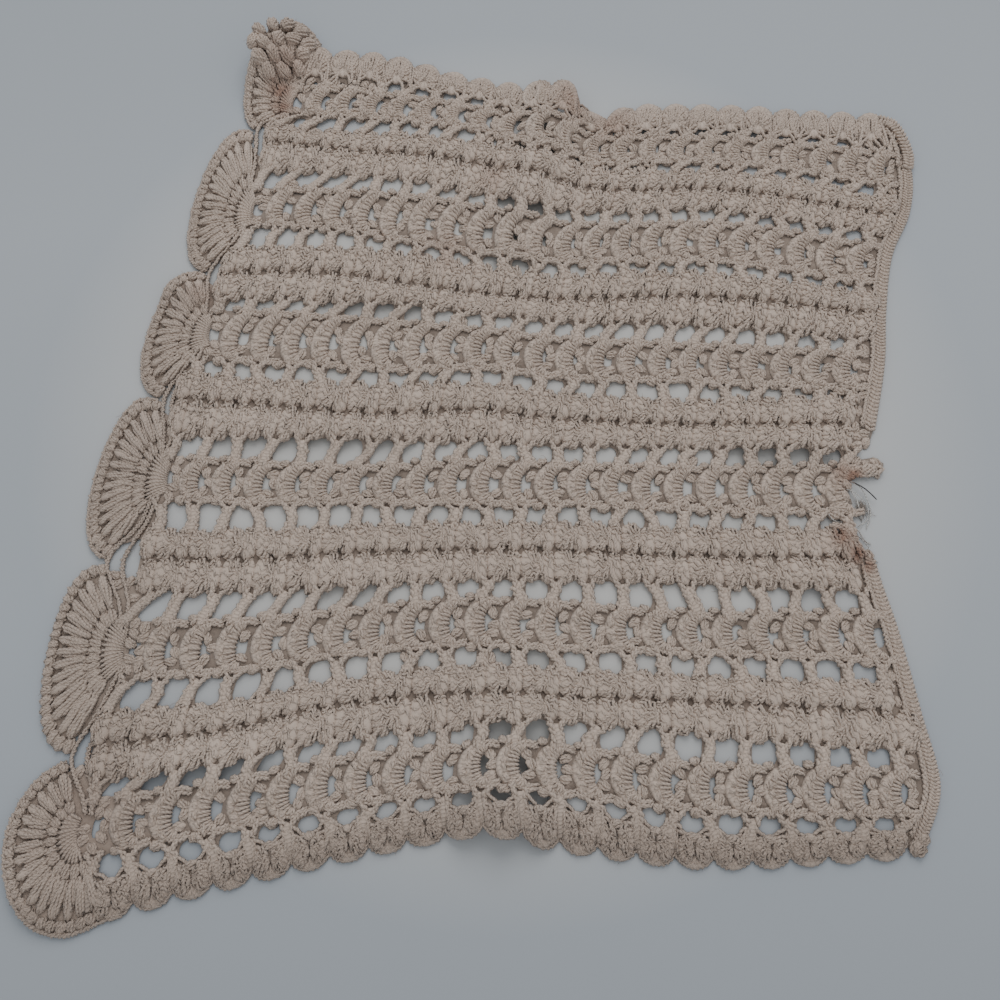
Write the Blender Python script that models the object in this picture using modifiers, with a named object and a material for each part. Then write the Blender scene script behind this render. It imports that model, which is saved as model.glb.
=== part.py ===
"""Crocheted lace doily: one openwork cotton sheet, laid out flat with its folds.

The lace is worked in rows. Thirteen working lines cross the sheet from the far edge to the near edge:
the shell edge, then fan rows and solid shell bands by turns, then the other shell edge. Each line is
placed by a row of LINES, and every window, scallop and edge shell is worked out from those lines.
The sheet lies on z = 0, apart from the ridges and the lifted rims listed below.
"""
import bmesh
import bpy
from math import atan2, cos, degrees, hypot, pi, sin
from mathutils import Vector
from mathutils.geometry import delaunay_2d_cdt

MM = 0.001                      # the tables below are in millimetres
OBJECT_NAME = "lace_doily"
NODE_NAME = "crochet_lace"

# ---- driving dimensions ----
THICKNESS = 2.0 * MM            # two crossed yarns and the post between them
COLUMNS = 21                    # repeats across every row
SHELL_BULGE = 2.4               # how far an edge shell rounds out past its two cusps, mm
SHELL_STEPS = 4                 # points along each edge shell
SCALLOP_STEPS = 14              # points along each big scallop
SCALLOP_LOBE = 0.7              # lobes of the chain loops round a big scallop, mm
SCALLOP_FULLNESS = 0.72         # under 1, a scallop's shoulders are fuller than an ellipse's
BORDER_STEPS = 3                # points along the border between two working lines
WINDOW_POINTS = 8               # points round one window of the fan rows
LOOP_POINTS = 6                 # points round one root loop or neck gap
ROUNDING = 0.62                 # power of an opening's rounded-square outline
CELL_FILL = 0.70                # most of a column's pitch that an opening takes
LEAN_FADE = 2.2                 # how fast the lean of the openings fades across the sheet
CORNER_FAR = 0.25               # how far past the far edge the right border starts, in lines
CORNER_NEAR = 0.15              # how far before the near edge the right border ends, in lines
POINT_MERGE = 0.001             # points nearer than this are one point, mm

# How unevenly the openings are worked. Columns: share of the size by which they vary, and how far
# that variation turns from one column to the next and from one line to the next, in radians.
WIDTH_VARIES = (0.06, 2.3, 5.1)
HEIGHT_VARIES = (0.05, 1.7, 3.3)

# Where along each working line the y values of LINES are read, in columns from the left end.
STATIONS = (0, 3, 6, 9.5, 10.5, 12, 16, 21)

# One row for each working line, from the far edge to the near edge.
# Columns: name, x of the line's left end, x of its right end, x of the sheet's right edge,
# then y at each of STATIONS.
LINES = (
    ("far_edge", -80, 150, 153, (156, 153, 142, 134, 123, 127, 127, 124)),
    ("fans_1", -84, 147, 158, (131, 130, 127, 116, 113, 111, 110, 101)),
    ("shells_1", -90, 142, 155, (113, 109, 106, 96, 93, 91, 91, 81)),
    ("fans_2", -96, 135, 146, (81, 81, 77, 69, 68, 69, 70, 62)),
    ("shells_2", -102, 130, 141, (55, 55, 50, 45, 44, 44, 45, 39)),
    ("fans_3", -108, 125, 138, (30, 28, 28, 26, 24, 22, 20, 18)),
    ("shells_3", -114, 123, 132, (4, 1, -2, 0, -2, -4, -6, -6)),
    ("fans_4", -118, 118, 126, (-26, -27, -27, -27, -27, -27, -28, -29)),
    ("shells_4", -120, 118, 126, (-55, -55, -53, -52, -52, -52, -54, -55)),
    ("fans_5", -124, 122, 131, (-86, -85, -81, -76, -76, -77, -79, -80)),
    ("shells_5", -128, 125, 135, (-116, -112, -104, -100, -100, -101, -103, -106)),
    ("fans_6", -129, 125, 138, (-144, -138, -130, -124, -122, -122, -128, -130)),
    ("near_edge", -126, 124, 130, (-168, -159, -151, -143, -143, -147, -152, -149)),
)
LINE_NUMBERS = tuple(range(len(LINES)))
FAR_EDGE = 0
NEAR_EDGE = len(LINES) - 1

# The middle of the sheet's footprint in the tables' coordinates, mm. It becomes the origin.
CENTRE = (1.1, -3.7)

# One row for each run of openings. Columns: place of the run at the left end and at the right end,
# in lines down the sheet; first and last column that is open; how far each opening stands from the
# middle of its column, in columns; lean of an opening at the left end and at the right end
# (sideways run for each unit of height); and its width and height in mm.
WINDOW_ROWS = (
    (0.60, 0.62, 3, 6, 0.0, 0.3, 0.2, 4.8, 5.0),
    (0.60, 0.64, 14, 20, 0.0, 0.1, 0.0, 4.6, 4.6),
    (1.47, 1.53, 1, 6, 0.0, 0.6, 0.3, 6.0, 6.4),
    (1.47, 1.53, 13, 20, 0.0, 0.1, 0.0, 6.0, 6.2),
    (2.50, 2.58, 0, 20, 0.0, 0.6, 0.0, 6.8, 8.0),
    (3.42, 3.57, 0, 20, 0.0, 0.2, 0.0, 6.6, 7.8),
    (4.52, 4.66, 0, 20, 0.0, 0.6, 0.1, 6.8, 7.8),
    (5.54, 5.52, 0, 20, 0.0, 0.2, 0.0, 7.2, 8.2),
    (6.60, 6.56, 0, 20, 0.0, 0.4, 0.0, 7.4, 8.6),
    (7.49, 7.53, 0, 19, 0.0, 0.0, 0.0, 7.4, 8.8),
    (7.53, 7.53, 20, 20, -0.2, 0.0, 0.0, 5.4, 6.6),
    (8.53, 8.60, 0, 20, 0.0, 0.7, 0.0, 7.6, 9.0),
    (9.50, 9.54, 0, 20, 0.0, 0.3, 0.0, 7.6, 8.6),
    (10.50, 10.62, 0, 20, 0.0, 0.8, 0.1, 7.8, 8.8),
    (11.42, 11.58, 0, 20, 0.0, 0.0, 0.1, 7.8, 8.4),
)

# The loops at the roots of the fans, in the three rows where they stand widest open.
LOOP_ROWS = (
    (7.00, 7.00, 0, 19, 0.62, 0.0, 0.0, 3.4, 6.0),
    (9.00, 9.00, 0, 19, 0.62, 0.2, 0.0, 3.6, 6.2),
    (11.00, 11.02, 0, 19, 0.62, 0.2, 0.0, 3.8, 6.4),
)

# Gaps between the chains at the necks of the big scallops. Columns: x, y, width, height and
# lean of each gap, in mm.
NECK_GAPS = (
    (-130.5, -118.5, 4.8, 4.8, 0.0),
    (-133.6, -128.0, 4.4, 7.6, 0.2),
    (-130.9, -61.0, 4.4, 6.6, -0.2),
)

# One row for each big scallop down the left end. Columns: x and y of the neck above it, x and y
# of the neck below it, how far it reaches out past the line between them, and the skew of its
# widest place (+ towards the far edge).
SCALLOPS = (
    (-74, 160, -99, 119, 17, 0.42),
    (-99, 119, -112, 55, 13.5, 0.05),
    (-112, 55, -124, 4, 13, 0.05),
    (-124, 4, -136, -56, 13.5, 0.10),
    (-136, -56, -140, -121, 14.5, 0.00),
    (-140, -121, -121, -169, 26, -0.20),
)

# The torn place in the right border, from its upper end to its lower end, as x and y, mm.
TEAR_FROM = 6.1                 # place in lines where the upper border ends
TEAR_TO = 8.0                   # place in lines where the lower border starts
TEAR = (
    (128.6, -12.6),
    (122.0, -16.5),
    (119.2, -19.2),
    (123.5, -19.4),
    (129.5, -18.4),
    (132.6, -20.6),
    (132.2, -23.4),
    (128.5, -24.6),
    (121.0, -24.6),
    (119.4, -30.0),
    (120.0, -35.5),
    (116.6, -38.5),
    (115.6, -42.0),
    (118.6, -44.6),
    (121.4, -50.4),
)

# One row for each ridge in the cloth. Columns: x and y of one end of its crest, x and y of the
# other end, its height at each end, and its half width, all in mm.
RIDGES = (
    (24, 140, 4, 66, 9.0, 2.5, 17),
    (52, 124, 100, 124, 4.0, 2.0, 11),
    (-4, -152, 6, -98, 9.5, 2.5, 20),
    (-60, 46, -34, 42, 4.0, 3.0, 10),
    (84, -13, 112, -14, 5.0, 5.0, 10),
    (-97, -9, -38, -10, 3.0, 3.5, 9),
    (-110, -125, -80, -124, 4.5, 4.0, 11),
    (-60, -64, -44, -64, 3.0, 3.0, 9),
    (100, -62, 108, -60, 4.0, 3.0, 10),
    (-134, 50, -110, 46, 6.0, 2.5, 9),
)

# One row for each scallop whose rim has curled up off the surface. Columns: x and y of its root,
# the direction that curls up most (degrees from +X), how wide an arc curls, the radius where the
# cloth starts to rise, the radius where it is at full height, and that height in mm.
LIFTED_RIMS = (
    (-85, 136, 125, 78, 6, 20, 9.0),
    (-128, -146, 200, 60, 12, 30, 3.5),
)
RIM_REACH = 34                  # past this radius a lifted rim no longer counts, mm

COTTON_COLOUR = (0.62, 0.54, 0.47, 1.0)
COTTON_ROUGHNESS = 0.92


def curve_through(knots, values, place):
    """Value at place on a smooth curve through values at knots."""
    last = len(knots) - 1
    i = 0
    while i < last - 1 and place > knots[i + 1]:
        i += 1

    def slope(k):
        before = max(k - 1, 0)
        after = min(k + 1, last)
        return (values[after] - values[before]) / (knots[after] - knots[before])

    span = knots[i + 1] - knots[i]
    t = (place - knots[i]) / span
    h_end = t * t * (3 - 2 * t)
    h_start = 1 - h_end
    s_start = t * (1 - t) ** 2
    s_end = t * t * (t - 1)
    return (h_start * values[i] + h_end * values[i + 1]
            + span * (s_start * slope(i) + s_end * slope(i + 1)))


def line_x(line, column):
    """x on one working line, in mm."""
    left, right = line[1], line[2]
    return left + (right - left) * column / COLUMNS


def line_y(line, column):
    """y on one working line, in mm."""
    return curve_through(STATIONS, line[4], column)


def lace_point(column, place):
    """Plan position of a place on the lace: columns from the left, lines from the far edge."""
    x = curve_through(LINE_NUMBERS, [line_x(line, column) for line in LINES], place)
    y = curve_through(LINE_NUMBERS, [line_y(line, column) for line in LINES], place)
    return Vector((x, y))


def border_point(place):
    """Plan position on the sheet's right edge, at a place in lines down the sheet."""
    x = curve_through(LINE_NUMBERS, [line[3] for line in LINES], place)
    return Vector((x, lace_point(COLUMNS, place).y))


def shell_edge(line_number, outward):
    """Points along one shell edge from left to right, each shell rounded out past its cusps."""
    points = []
    for step in range(COLUMNS * SHELL_STEPS + 1):
        column = step / SHELL_STEPS
        bulge = SHELL_BULGE * abs(sin(pi * column))
        points.append(lace_point(column, line_number) + Vector((0, outward * bulge)))
    return points


def border_run(start, end):
    """Points down the right edge from one place to another, both in lines."""
    count = max(2, round((end - start) * BORDER_STEPS))
    return [border_point(start + (end - start) * i / count) for i in range(count + 1)]


def scallop(row):
    """Points round one big scallop, from its lower neck to its upper neck."""
    top_x, top_y, low_x, low_y, reach, skew = row
    top = Vector((top_x, top_y))
    low = Vector((low_x, low_y))
    across = (top - low).normalized()
    outward = Vector((-across.y, across.x))
    half = (top - low).length / 2
    middle = (top + low) / 2
    points = []
    for step in range(1, SCALLOP_STEPS):
        angle = pi * step / SCALLOP_STEPS
        lobe = SCALLOP_LOBE * (-1) ** step
        along = -half * cos(angle) + skew * half * sin(angle)
        out = (reach + lobe) * sin(angle) ** SCALLOP_FULLNESS
        points.append(middle + across * along + outward * out)
    points.append(top)
    return points


def outline():
    """The sheet's closed outline, clockwise from the left end of the far edge."""
    points = shell_edge(FAR_EDGE, 1)
    points += border_run(FAR_EDGE + CORNER_FAR, TEAR_FROM)
    points += [Vector(point) for point in TEAR]
    points += border_run(TEAR_TO, NEAR_EDGE - CORNER_NEAR)
    points += reversed(shell_edge(NEAR_EDGE, -1))
    for row in reversed(SCALLOPS):
        points += scallop(row)
    return points[:-1]


def opening(centre, along, lean, width, height, count):
    """Points round one opening, a rounded square that leans with the stitches beside it."""
    up = Vector((lean, 1.0))
    points = []
    for i in range(count):
        angle = 2 * pi * (i + 0.5) / count
        c, s = cos(angle), sin(angle)
        across = abs(c) ** ROUNDING * (1 if c > 0 else -1) * width / 2
        rise = abs(s) ** ROUNDING * (1 if s > 0 else -1) * height / 2
        points.append(centre + along * across + up * rise)
    return points


def uneven(varies, column, place):
    """How much larger or smaller than even one opening is worked, as a factor."""
    share, column_turn, line_turn = varies
    return 1 + share * sin(column_turn * column + line_turn * place)


def opening_run(row, count):
    """The openings of one run, each a little wider or narrower than the next."""
    place_left, place_right, first, last, shift, lean_left, lean_right, width, height = row
    found = []
    for column in range(first, last + 1):
        share = column / (COLUMNS - 1)
        place = place_left + (place_right - place_left) * share
        lean = lean_left + (lean_right - lean_left) * min(1.0, LEAN_FADE * share)
        middle = column + 0.5 + shift
        pitch = lace_point(middle + 0.5, place) - lace_point(middle - 0.5, place)
        own_width = min(width * uneven(WIDTH_VARIES, column, place), CELL_FILL * pitch.length)
        own_height = height * uneven(HEIGHT_VARIES, column, place)
        centre = lace_point(middle, place)
        found.append(opening(centre, pitch.normalized(), lean, own_width, own_height, count))
    return found


def openings():
    """Every gap that is cut through the lace."""
    found = []
    for row in WINDOW_ROWS:
        found += opening_run(row, WINDOW_POINTS)
    for row in LOOP_ROWS:
        found += opening_run(row, LOOP_POINTS)
    for x, y, width, height, lean in NECK_GAPS:
        found.append(opening(Vector((x, y)), Vector((1, 0)), lean, width, height, LOOP_POINTS))
    return found


def inner_points():
    """Places on the solid rows that carry the cloth over its ridges."""
    points = []
    for place in range(1, NEAR_EDGE):
        for column in range(1, COLUMNS):
            points.append(lace_point(column, place))
    return points


def ridge_height(x, y):
    """Height of the cloth's underside over one plan position, all in mm."""
    height = 0.0
    for x0, y0, x1, y1, start, end, half_width in RIDGES:
        dx, dy = x1 - x0, y1 - y0
        share = ((x - x0) * dx + (y - y0) * dy) / (dx * dx + dy * dy)
        share = min(1.0, max(0.0, share))
        away = hypot(x - x0 - share * dx, y - y0 - share * dy) / half_width
        if away < 1:
            height = max(height, (start + (end - start) * share) * (1 - away * away) ** 2)
    for x0, y0, direction, arc, low, full, lift in LIFTED_RIMS:
        radius = hypot(x - x0, y - y0)
        turn = abs((degrees(atan2(y - y0, x - x0)) - direction + 180) % 360 - 180)
        if low < radius < RIM_REACH and turn < arc:
            t = min(1.0, (radius - low) / (full - low))
            height = max(height, lift * t * t * (3 - 2 * t) * (1 - (turn / arc) ** 2) ** 2)
    return height


def inside(point, loop):
    """Whether a plan position lies in a closed loop of points."""
    crossings = False
    for a, b in zip(loop, loop[1:] + loop[:1]):
        if (a.y > point.y) != (b.y > point.y):
            if point.x < a.x + (b.x - a.x) * (point.y - a.y) / (b.y - a.y):
                crossings = not crossings
    return crossings


def lace_sheet():
    """The underside of the lace as an open mesh, with its windows left out."""
    edge = outline()
    holes = openings()
    points = list(edge)
    edges = [(i, (i + 1) % len(edge)) for i in range(len(edge))]
    for hole in holes:
        start = len(points)
        points += hole
        edges += [(start + i, start + (i + 1) % len(hole)) for i in range(len(hole))]
    points += inner_points()

    triangles_inside = 1
    corners, _, triangles, _, _, _ = delaunay_2d_cdt(points, edges, [], triangles_inside, POINT_MERGE)
    mesh = bmesh.new()
    verts = []
    for x, y in corners:
        spot = Vector((x - CENTRE[0], y - CENTRE[1], ridge_height(x, y)))
        verts.append(mesh.verts.new(spot * MM))
    hole_boxes = [(min(p.x for p in h), max(p.x for p in h), h) for h in holes]
    for triangle in triangles:
        middle = sum((corners[i] for i in triangle), Vector((0, 0))) / 3
        in_hole = any(low < middle.x < high and inside(middle, hole) for low, high, hole in hole_boxes)
        if inside(middle, edge) and not in_hole:
            mesh.faces.new([verts[i] for i in triangle])
    bmesh.ops.delete(mesh, geom=[v for v in mesh.verts if not v.link_faces], context="VERTS")
    bmesh.ops.recalc_face_normals(mesh, faces=mesh.faces)
    if sum(face.normal.z for face in mesh.faces) < 0:
        bmesh.ops.reverse_faces(mesh, faces=mesh.faces)
    data = bpy.data.meshes.new(NODE_NAME)
    mesh.to_mesh(data)
    mesh.free()
    return data


def cotton():
    """Undyed cotton crochet yarn."""
    material = bpy.data.materials.new("cotton_yarn")
    material.use_nodes = True
    shader = material.node_tree.nodes["Principled BSDF"]
    shader.inputs["Base Color"].default_value = COTTON_COLOUR
    shader.inputs["Roughness"].default_value = COTTON_ROUGHNESS
    shader.inputs["Metallic"].default_value = 0.0
    return material


def main():
    for item in list(bpy.data.objects):
        bpy.data.objects.remove(item, do_unlink=True)
    collection = bpy.data.collections.new(OBJECT_NAME)
    bpy.context.scene.collection.children.link(collection)
    lace = bpy.data.objects.new(NODE_NAME, lace_sheet())
    lace.data.materials.append(cotton())
    collection.objects.link(lace)
    body = lace.modifiers.new("thickness", "SOLIDIFY")
    body.thickness = THICKNESS
    body.offset = 1.0


main()
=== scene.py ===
"""Crocheted lace doily, stitch by stitch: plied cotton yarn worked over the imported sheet.

The working lines, windows, scallops, ridges and tear are the ones that the sheet itself was cut
from. Every stitch is a tube of yarn that follows them. Lengths are in millimetres until a piece
is made.
"""
from math import pi, radians

import bpy
import numpy as np
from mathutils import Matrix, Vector
from mathutils.geometry import delaunay_2d_cdt


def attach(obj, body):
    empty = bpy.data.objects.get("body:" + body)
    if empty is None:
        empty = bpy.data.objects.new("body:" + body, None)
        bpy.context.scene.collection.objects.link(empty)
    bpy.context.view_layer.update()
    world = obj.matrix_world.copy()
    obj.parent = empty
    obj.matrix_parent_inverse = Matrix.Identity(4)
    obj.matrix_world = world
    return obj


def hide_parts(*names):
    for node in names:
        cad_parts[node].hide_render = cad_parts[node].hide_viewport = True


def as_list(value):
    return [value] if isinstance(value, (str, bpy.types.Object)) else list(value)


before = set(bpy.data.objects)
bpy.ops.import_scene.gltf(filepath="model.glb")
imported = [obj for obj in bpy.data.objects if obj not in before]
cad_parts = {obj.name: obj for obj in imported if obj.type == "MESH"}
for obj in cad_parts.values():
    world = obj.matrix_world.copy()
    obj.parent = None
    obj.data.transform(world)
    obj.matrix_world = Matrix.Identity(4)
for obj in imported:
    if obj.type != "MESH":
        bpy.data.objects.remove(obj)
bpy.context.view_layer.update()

MM = 0.001
COLUMNS = 21                    # repeats across every row
CENTRE = (1.1, -3.7)            # the middle of the sheet's footprint in the tables' coordinates

# ---- the sheet's own tables, as its solid was cut ----
STATIONS = (0, 3, 6, 9.5, 10.5, 12, 16, 21)

# Columns: name, x of the line's left end, x of its right end, x of the sheet's right edge,
# then y at each of STATIONS.
LINES = (
    ("far_edge", -80, 150, 153, (156, 153, 142, 134, 123, 127, 127, 124)),
    ("fans_1", -84, 147, 158, (131, 130, 127, 116, 113, 111, 110, 101)),
    ("shells_1", -90, 142, 155, (113, 109, 106, 96, 93, 91, 91, 81)),
    ("fans_2", -96, 135, 146, (81, 81, 77, 69, 68, 69, 70, 62)),
    ("shells_2", -102, 130, 141, (55, 55, 50, 45, 44, 44, 45, 39)),
    ("fans_3", -108, 125, 138, (30, 28, 28, 26, 24, 22, 20, 18)),
    ("shells_3", -114, 123, 132, (4, 1, -2, 0, -2, -4, -6, -6)),
    ("fans_4", -118, 118, 126, (-26, -27, -27, -27, -27, -27, -28, -29)),
    ("shells_4", -120, 118, 126, (-55, -55, -53, -52, -52, -52, -54, -55)),
    ("fans_5", -124, 122, 131, (-86, -85, -81, -76, -76, -77, -79, -80)),
    ("shells_5", -128, 125, 135, (-116, -112, -104, -100, -100, -101, -103, -106)),
    ("fans_6", -129, 125, 138, (-144, -138, -130, -124, -122, -122, -128, -130)),
    ("near_edge", -126, 124, 130, (-168, -159, -151, -143, -143, -147, -152, -149)),
)
FAR_EDGE = 0
NEAR_EDGE = len(LINES) - 1

# One row for each strip of windows between two working lines. Columns: place at the left end and at
# the right end, in lines down the sheet; lean at the left end and at the right end; width; height;
# and the first and last column of each run of windows that is open.
ALL_OPEN = ((0, COLUMNS - 1),)
WINDOW_ROWS = (
    (0.60, 0.62, 0.3, 0.2, 4.8, 5.0, ((3, 6), (14, 20))),
    (1.47, 1.53, 0.6, 0.3, 6.0, 6.4, ((1, 6), (13, 20))),
    (2.50, 2.58, 0.6, 0.0, 6.8, 8.0, ALL_OPEN),
    (3.42, 3.57, 0.2, 0.0, 6.6, 7.8, ALL_OPEN),
    (4.52, 4.66, 0.6, 0.1, 6.8, 7.8, ALL_OPEN),
    (5.54, 5.52, 0.2, 0.0, 7.2, 8.2, ALL_OPEN),
    (6.60, 6.56, 0.4, 0.0, 7.4, 8.6, ALL_OPEN),
    (7.49, 7.53, 0.0, 0.0, 7.4, 8.8, ALL_OPEN),
    (8.53, 8.60, 0.7, 0.0, 7.6, 9.0, ALL_OPEN),
    (9.50, 9.54, 0.3, 0.0, 7.6, 8.6, ALL_OPEN),
    (10.50, 10.62, 0.8, 0.1, 7.8, 8.8, ALL_OPEN),
    (11.42, 11.58, 0.0, 0.1, 7.8, 8.4, ALL_OPEN),
)
LEAN_FADE = 2.2                 # how fast the lean of the windows fades across the sheet
RUN_MARGIN = 0.75               # how far past its end windows a run still counts as open, in columns
CROWDED = 0.45                  # size of a window that the fold has pushed shut, against an open one
# How far the stitches leave each strip's windows open, at these columns.
SHARE_COLUMNS = (0, 5, 10, 15, 20)
OPEN_SHARE = (
    (1.00, 0.62, 0.70, 0.42, 0.36),
    (1.00, 0.75, 0.75, 0.50, 0.62),
    (1.10, 0.74, 0.58, 0.56, 0.48),
    (1.12, 0.52, 0.62, 0.60, 0.48),
    (0.50, 0.62, 0.56, 0.88, 0.54),
    (0.60, 0.78, 0.64, 0.82, 0.36),
    (0.84, 1.00, 0.58, 0.68, 0.52),
    (1.10, 0.80, 0.60, 0.74, 0.62),
    (1.04, 0.80, 0.58, 1.00, 0.74),
    (1.10, 0.80, 0.58, 0.74, 0.74),
    (0.56, 0.66, 0.60, 0.94, 0.60),
    (0.78, 0.50, 0.40, 0.74, 0.38),
)

# Columns: x and y of the neck above the scallop, x and y of the neck below it, how far it reaches
# out past the line between them, and the skew of its widest place.
SCALLOPS = (
    (-74, 160, -99, 119, 17, 0.42),
    (-99, 119, -112, 55, 13.5, 0.05),
    (-112, 55, -124, 4, 13, 0.05),
    (-124, 4, -136, -56, 13.5, 0.10),
    (-136, -56, -140, -121, 14.5, 0.00),
    (-140, -121, -121, -169, 26, -0.20),
)
ROOT_SHIFTS = (0.0, 0.0, 0.0, 0.5, -1.8, -4.5)   # of the scallops' roots from the first column, in x
SCALLOP_FULLNESS = 0.72         # under 1, a scallop's shoulders are fuller than an ellipse's

TEAR_FROM = 6.1                 # place in lines where the upper border ends
TEAR_TO = 8.0                   # place in lines where the lower border starts
# Plan points along the torn edge, from its upper end to its lower end.
TEAR = (
    (128.6, -12.6), (122.0, -16.5), (119.2, -19.2), (123.5, -19.4), (129.5, -18.4),
    (132.6, -20.6), (132.2, -23.4), (128.5, -24.6), (121.0, -24.6), (119.4, -30.0),
    (120.0, -35.5), (116.6, -38.5), (115.6, -42.0), (118.6, -44.6), (121.4, -50.4),
)

# Columns: x and y of one end of the crest, x and y of the other end, height at each end, half width.
RIDGES = (
    (24, 140, 4, 66, 9.0, 2.5, 17),
    (52, 124, 100, 124, 4.0, 2.0, 11),
    (-4, -152, 6, -98, 9.5, 2.5, 20),
    (-60, 46, -34, 42, 4.0, 3.0, 10),
    (84, -13, 112, -14, 5.0, 5.0, 10),
    (-97, -9, -38, -10, 3.0, 3.5, 9),
    (-110, -125, -80, -124, 4.5, 4.0, 11),
    (-60, -64, -44, -64, 3.0, 3.0, 9),
    (100, -62, 108, -60, 4.0, 3.0, 10),
    (-134, 50, -110, 46, 6.0, 2.5, 9),
)
# Columns: x and y of the scallop's root, direction that curls up most (degrees from +X), arc that
# curls, radius where the cloth starts to rise, radius of full height, and that height.
LIFTED_RIMS = (
    (-85, 136, 125, 78, 6, 20, 9.0),
    (-128, -146, 200, 60, 12, 30, 3.5),
)
RIM_REACH = 34                  # no cloth past this distance from a scallop's root is lifted with it
# Ridges settle under the cloth's own weight: heights, and the share of each that is left.
RIDGE_HEIGHTS = (5.0, 9.0)
RIDGE_SETTLED = (0.5, 0.85)

# ---- yarn ----
SIDES = 3                       # sides of a strand
CORNER_ANGLES = (-12, 90, 192)  # where a three-sided strand has its corners, in degrees: one is on top
PLY_LENGTH = 1.25               # distance along the yarn from one ply to the next
PLIES = 2                       # plies that are twisted into one strand
GROUND_LIFT = 0.60              # the lace ground lies under the posts
GROUND_THICKNESS = 0.35         # of the thin ground between the stitches
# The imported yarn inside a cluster, as a low dome. Columns: radius of a ring and its rise, both as a
# share of the dome's.
CORE_RINGS = ((1.0, 0.0), (0.93, 0.52), (0.58, 0.90))
CORE_TURN = 2 * pi * np.arange(8) / 8
CORE_SKIRT = 0.25               # how far the dome starts below the cluster's base, mm
CORE_INSET = 0.15               # how far the dome stays inside the cluster's outline, mm
CORE_PHASE = 0.25               # where all of a dome lies across the plies' twist
CORE_TONE = 0.3                 # the shade of a dome among those of the strands
HAND = np.random.default_rng(7)  # the unevenness of hand work

# ---- stains, and painted shade towards the edges ----
# Columns: x and y of a stain, its radius and its strength.
STAINS = (
    (-86.0, 147.0, 9.0, 0.45),
    (-89.0, 137.0, 5.5, 1.00),
    (-88.0, 130.0, 5.0, 0.85),
    (27.0, 128.0, 9.0, 0.50),
    (42.0, 121.5, 8.0, 0.45),
    (-112.0, 45.0, 6.0, 0.35),
    (-22.0, 64.0, 9.0, 0.25),
    (-5.0, 96.0, 7.0, 0.30),
    (121.0, -26.0, 3.0, 1.60),
    (117.5, -24.5, 5.0, 0.60),
    (114.5, -47.5, 4.2, 1.00),
    (119.5, -53.5, 3.6, 1.20),
    (122.6, -57.5, 3.2, 0.90),
    (117.0, -50.0, 8.0, 0.45),
    # Painted shade: this broad faint darkening over the lower left scallop stands for the shade there, not
    # a stain.
    (-132.0, -140.0, 20.0, 0.16),
)
STAIN_EDGE = 1.4                # how fast a stain fades towards its radius
# Painted shade, not soil: the cloth is coloured darker where the light falls off towards its near and
# its far edge and its left end. Columns: how far in from the edge the shade reaches, the distance over
# which it grows to its full strength, and that strength. At the left end the first value is the x that it
# reaches in to.
NEAR_PAINTED_SHADE = (16, 14, 1.0)
FAR_PAINTED_SHADE = (3, 5, 0.6)
LEFT_PAINTED_SHADE = (-100, 25, 0.45)
# Painted shade: yarn that stands lower than this over the underside is coloured darker, as in the shade
# between stitches.
STANDING_FULL = 2.0             # yarn this high over the underside is in full light, mm


# ---- the sheet's shape ----
def curve_weights(knots, place):
    """How much each knot's value counts at each place on the smooth curve through the knots."""
    knots = np.asarray(knots, float)
    place = np.asarray(place, float)
    last = len(knots) - 1
    start = np.clip(np.searchsorted(knots, place) - 1, 0, last - 1)
    span = knots[start + 1] - knots[start]
    t = (place - knots[start]) / span
    rows = np.arange(len(place))
    weights = np.zeros((len(place), last + 1))
    h_end = t * t * (3 - 2 * t)
    np.add.at(weights, (rows, start), 1 - h_end)
    np.add.at(weights, (rows, start + 1), h_end)
    for knot, share in ((start, t * (1 - t) ** 2), (start + 1, t * t * (t - 1))):
        before = np.maximum(knot - 1, 0)
        after = np.minimum(knot + 1, last)
        slope = span * share / (knots[after] - knots[before])
        np.add.at(weights, (rows, after), slope)
        np.add.at(weights, (rows, before), -slope)
    return weights


LINE_NUMBERS = np.arange(len(LINES))
LINE_LEFT = np.array([line[1] for line in LINES], float)
LINE_RIGHT = np.array([line[2] for line in LINES], float)
LINE_EDGE = np.array([line[3] for line in LINES], float)
LINE_Y = np.array([line[4] for line in LINES], float)
LINE_STEP = 0.4                 # part of a line over which the distance between lines is measured
EVEN_PITCH = 11.4               # width of a column where the lace lies flat and even, mm


def lace_point(column, place):
    """Plan positions on the lace: columns from the left, lines from the far edge."""
    column, place = np.broadcast_arrays(np.asarray(column, float), np.asarray(place, float))
    flat_column, flat_place = column.ravel(), place.ravel()
    by_line = curve_weights(LINE_NUMBERS, flat_place)
    xs = LINE_LEFT + (LINE_RIGHT - LINE_LEFT) * flat_column[:, None] / COLUMNS
    ys = curve_weights(STATIONS, flat_column) @ LINE_Y.T
    plan = np.stack([(by_line * xs).sum(1), (by_line * ys).sum(1)], axis=1)
    return plan.reshape(column.shape + (2,))


def border_point(place):
    """Plan positions on the sheet's right edge."""
    place = np.asarray(place, float)
    x = curve_weights(LINE_NUMBERS, place.ravel()) @ LINE_EDGE
    y = lace_point(COLUMNS, place)[..., 1]
    return np.stack([x.reshape(place.shape), y], axis=-1)


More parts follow.
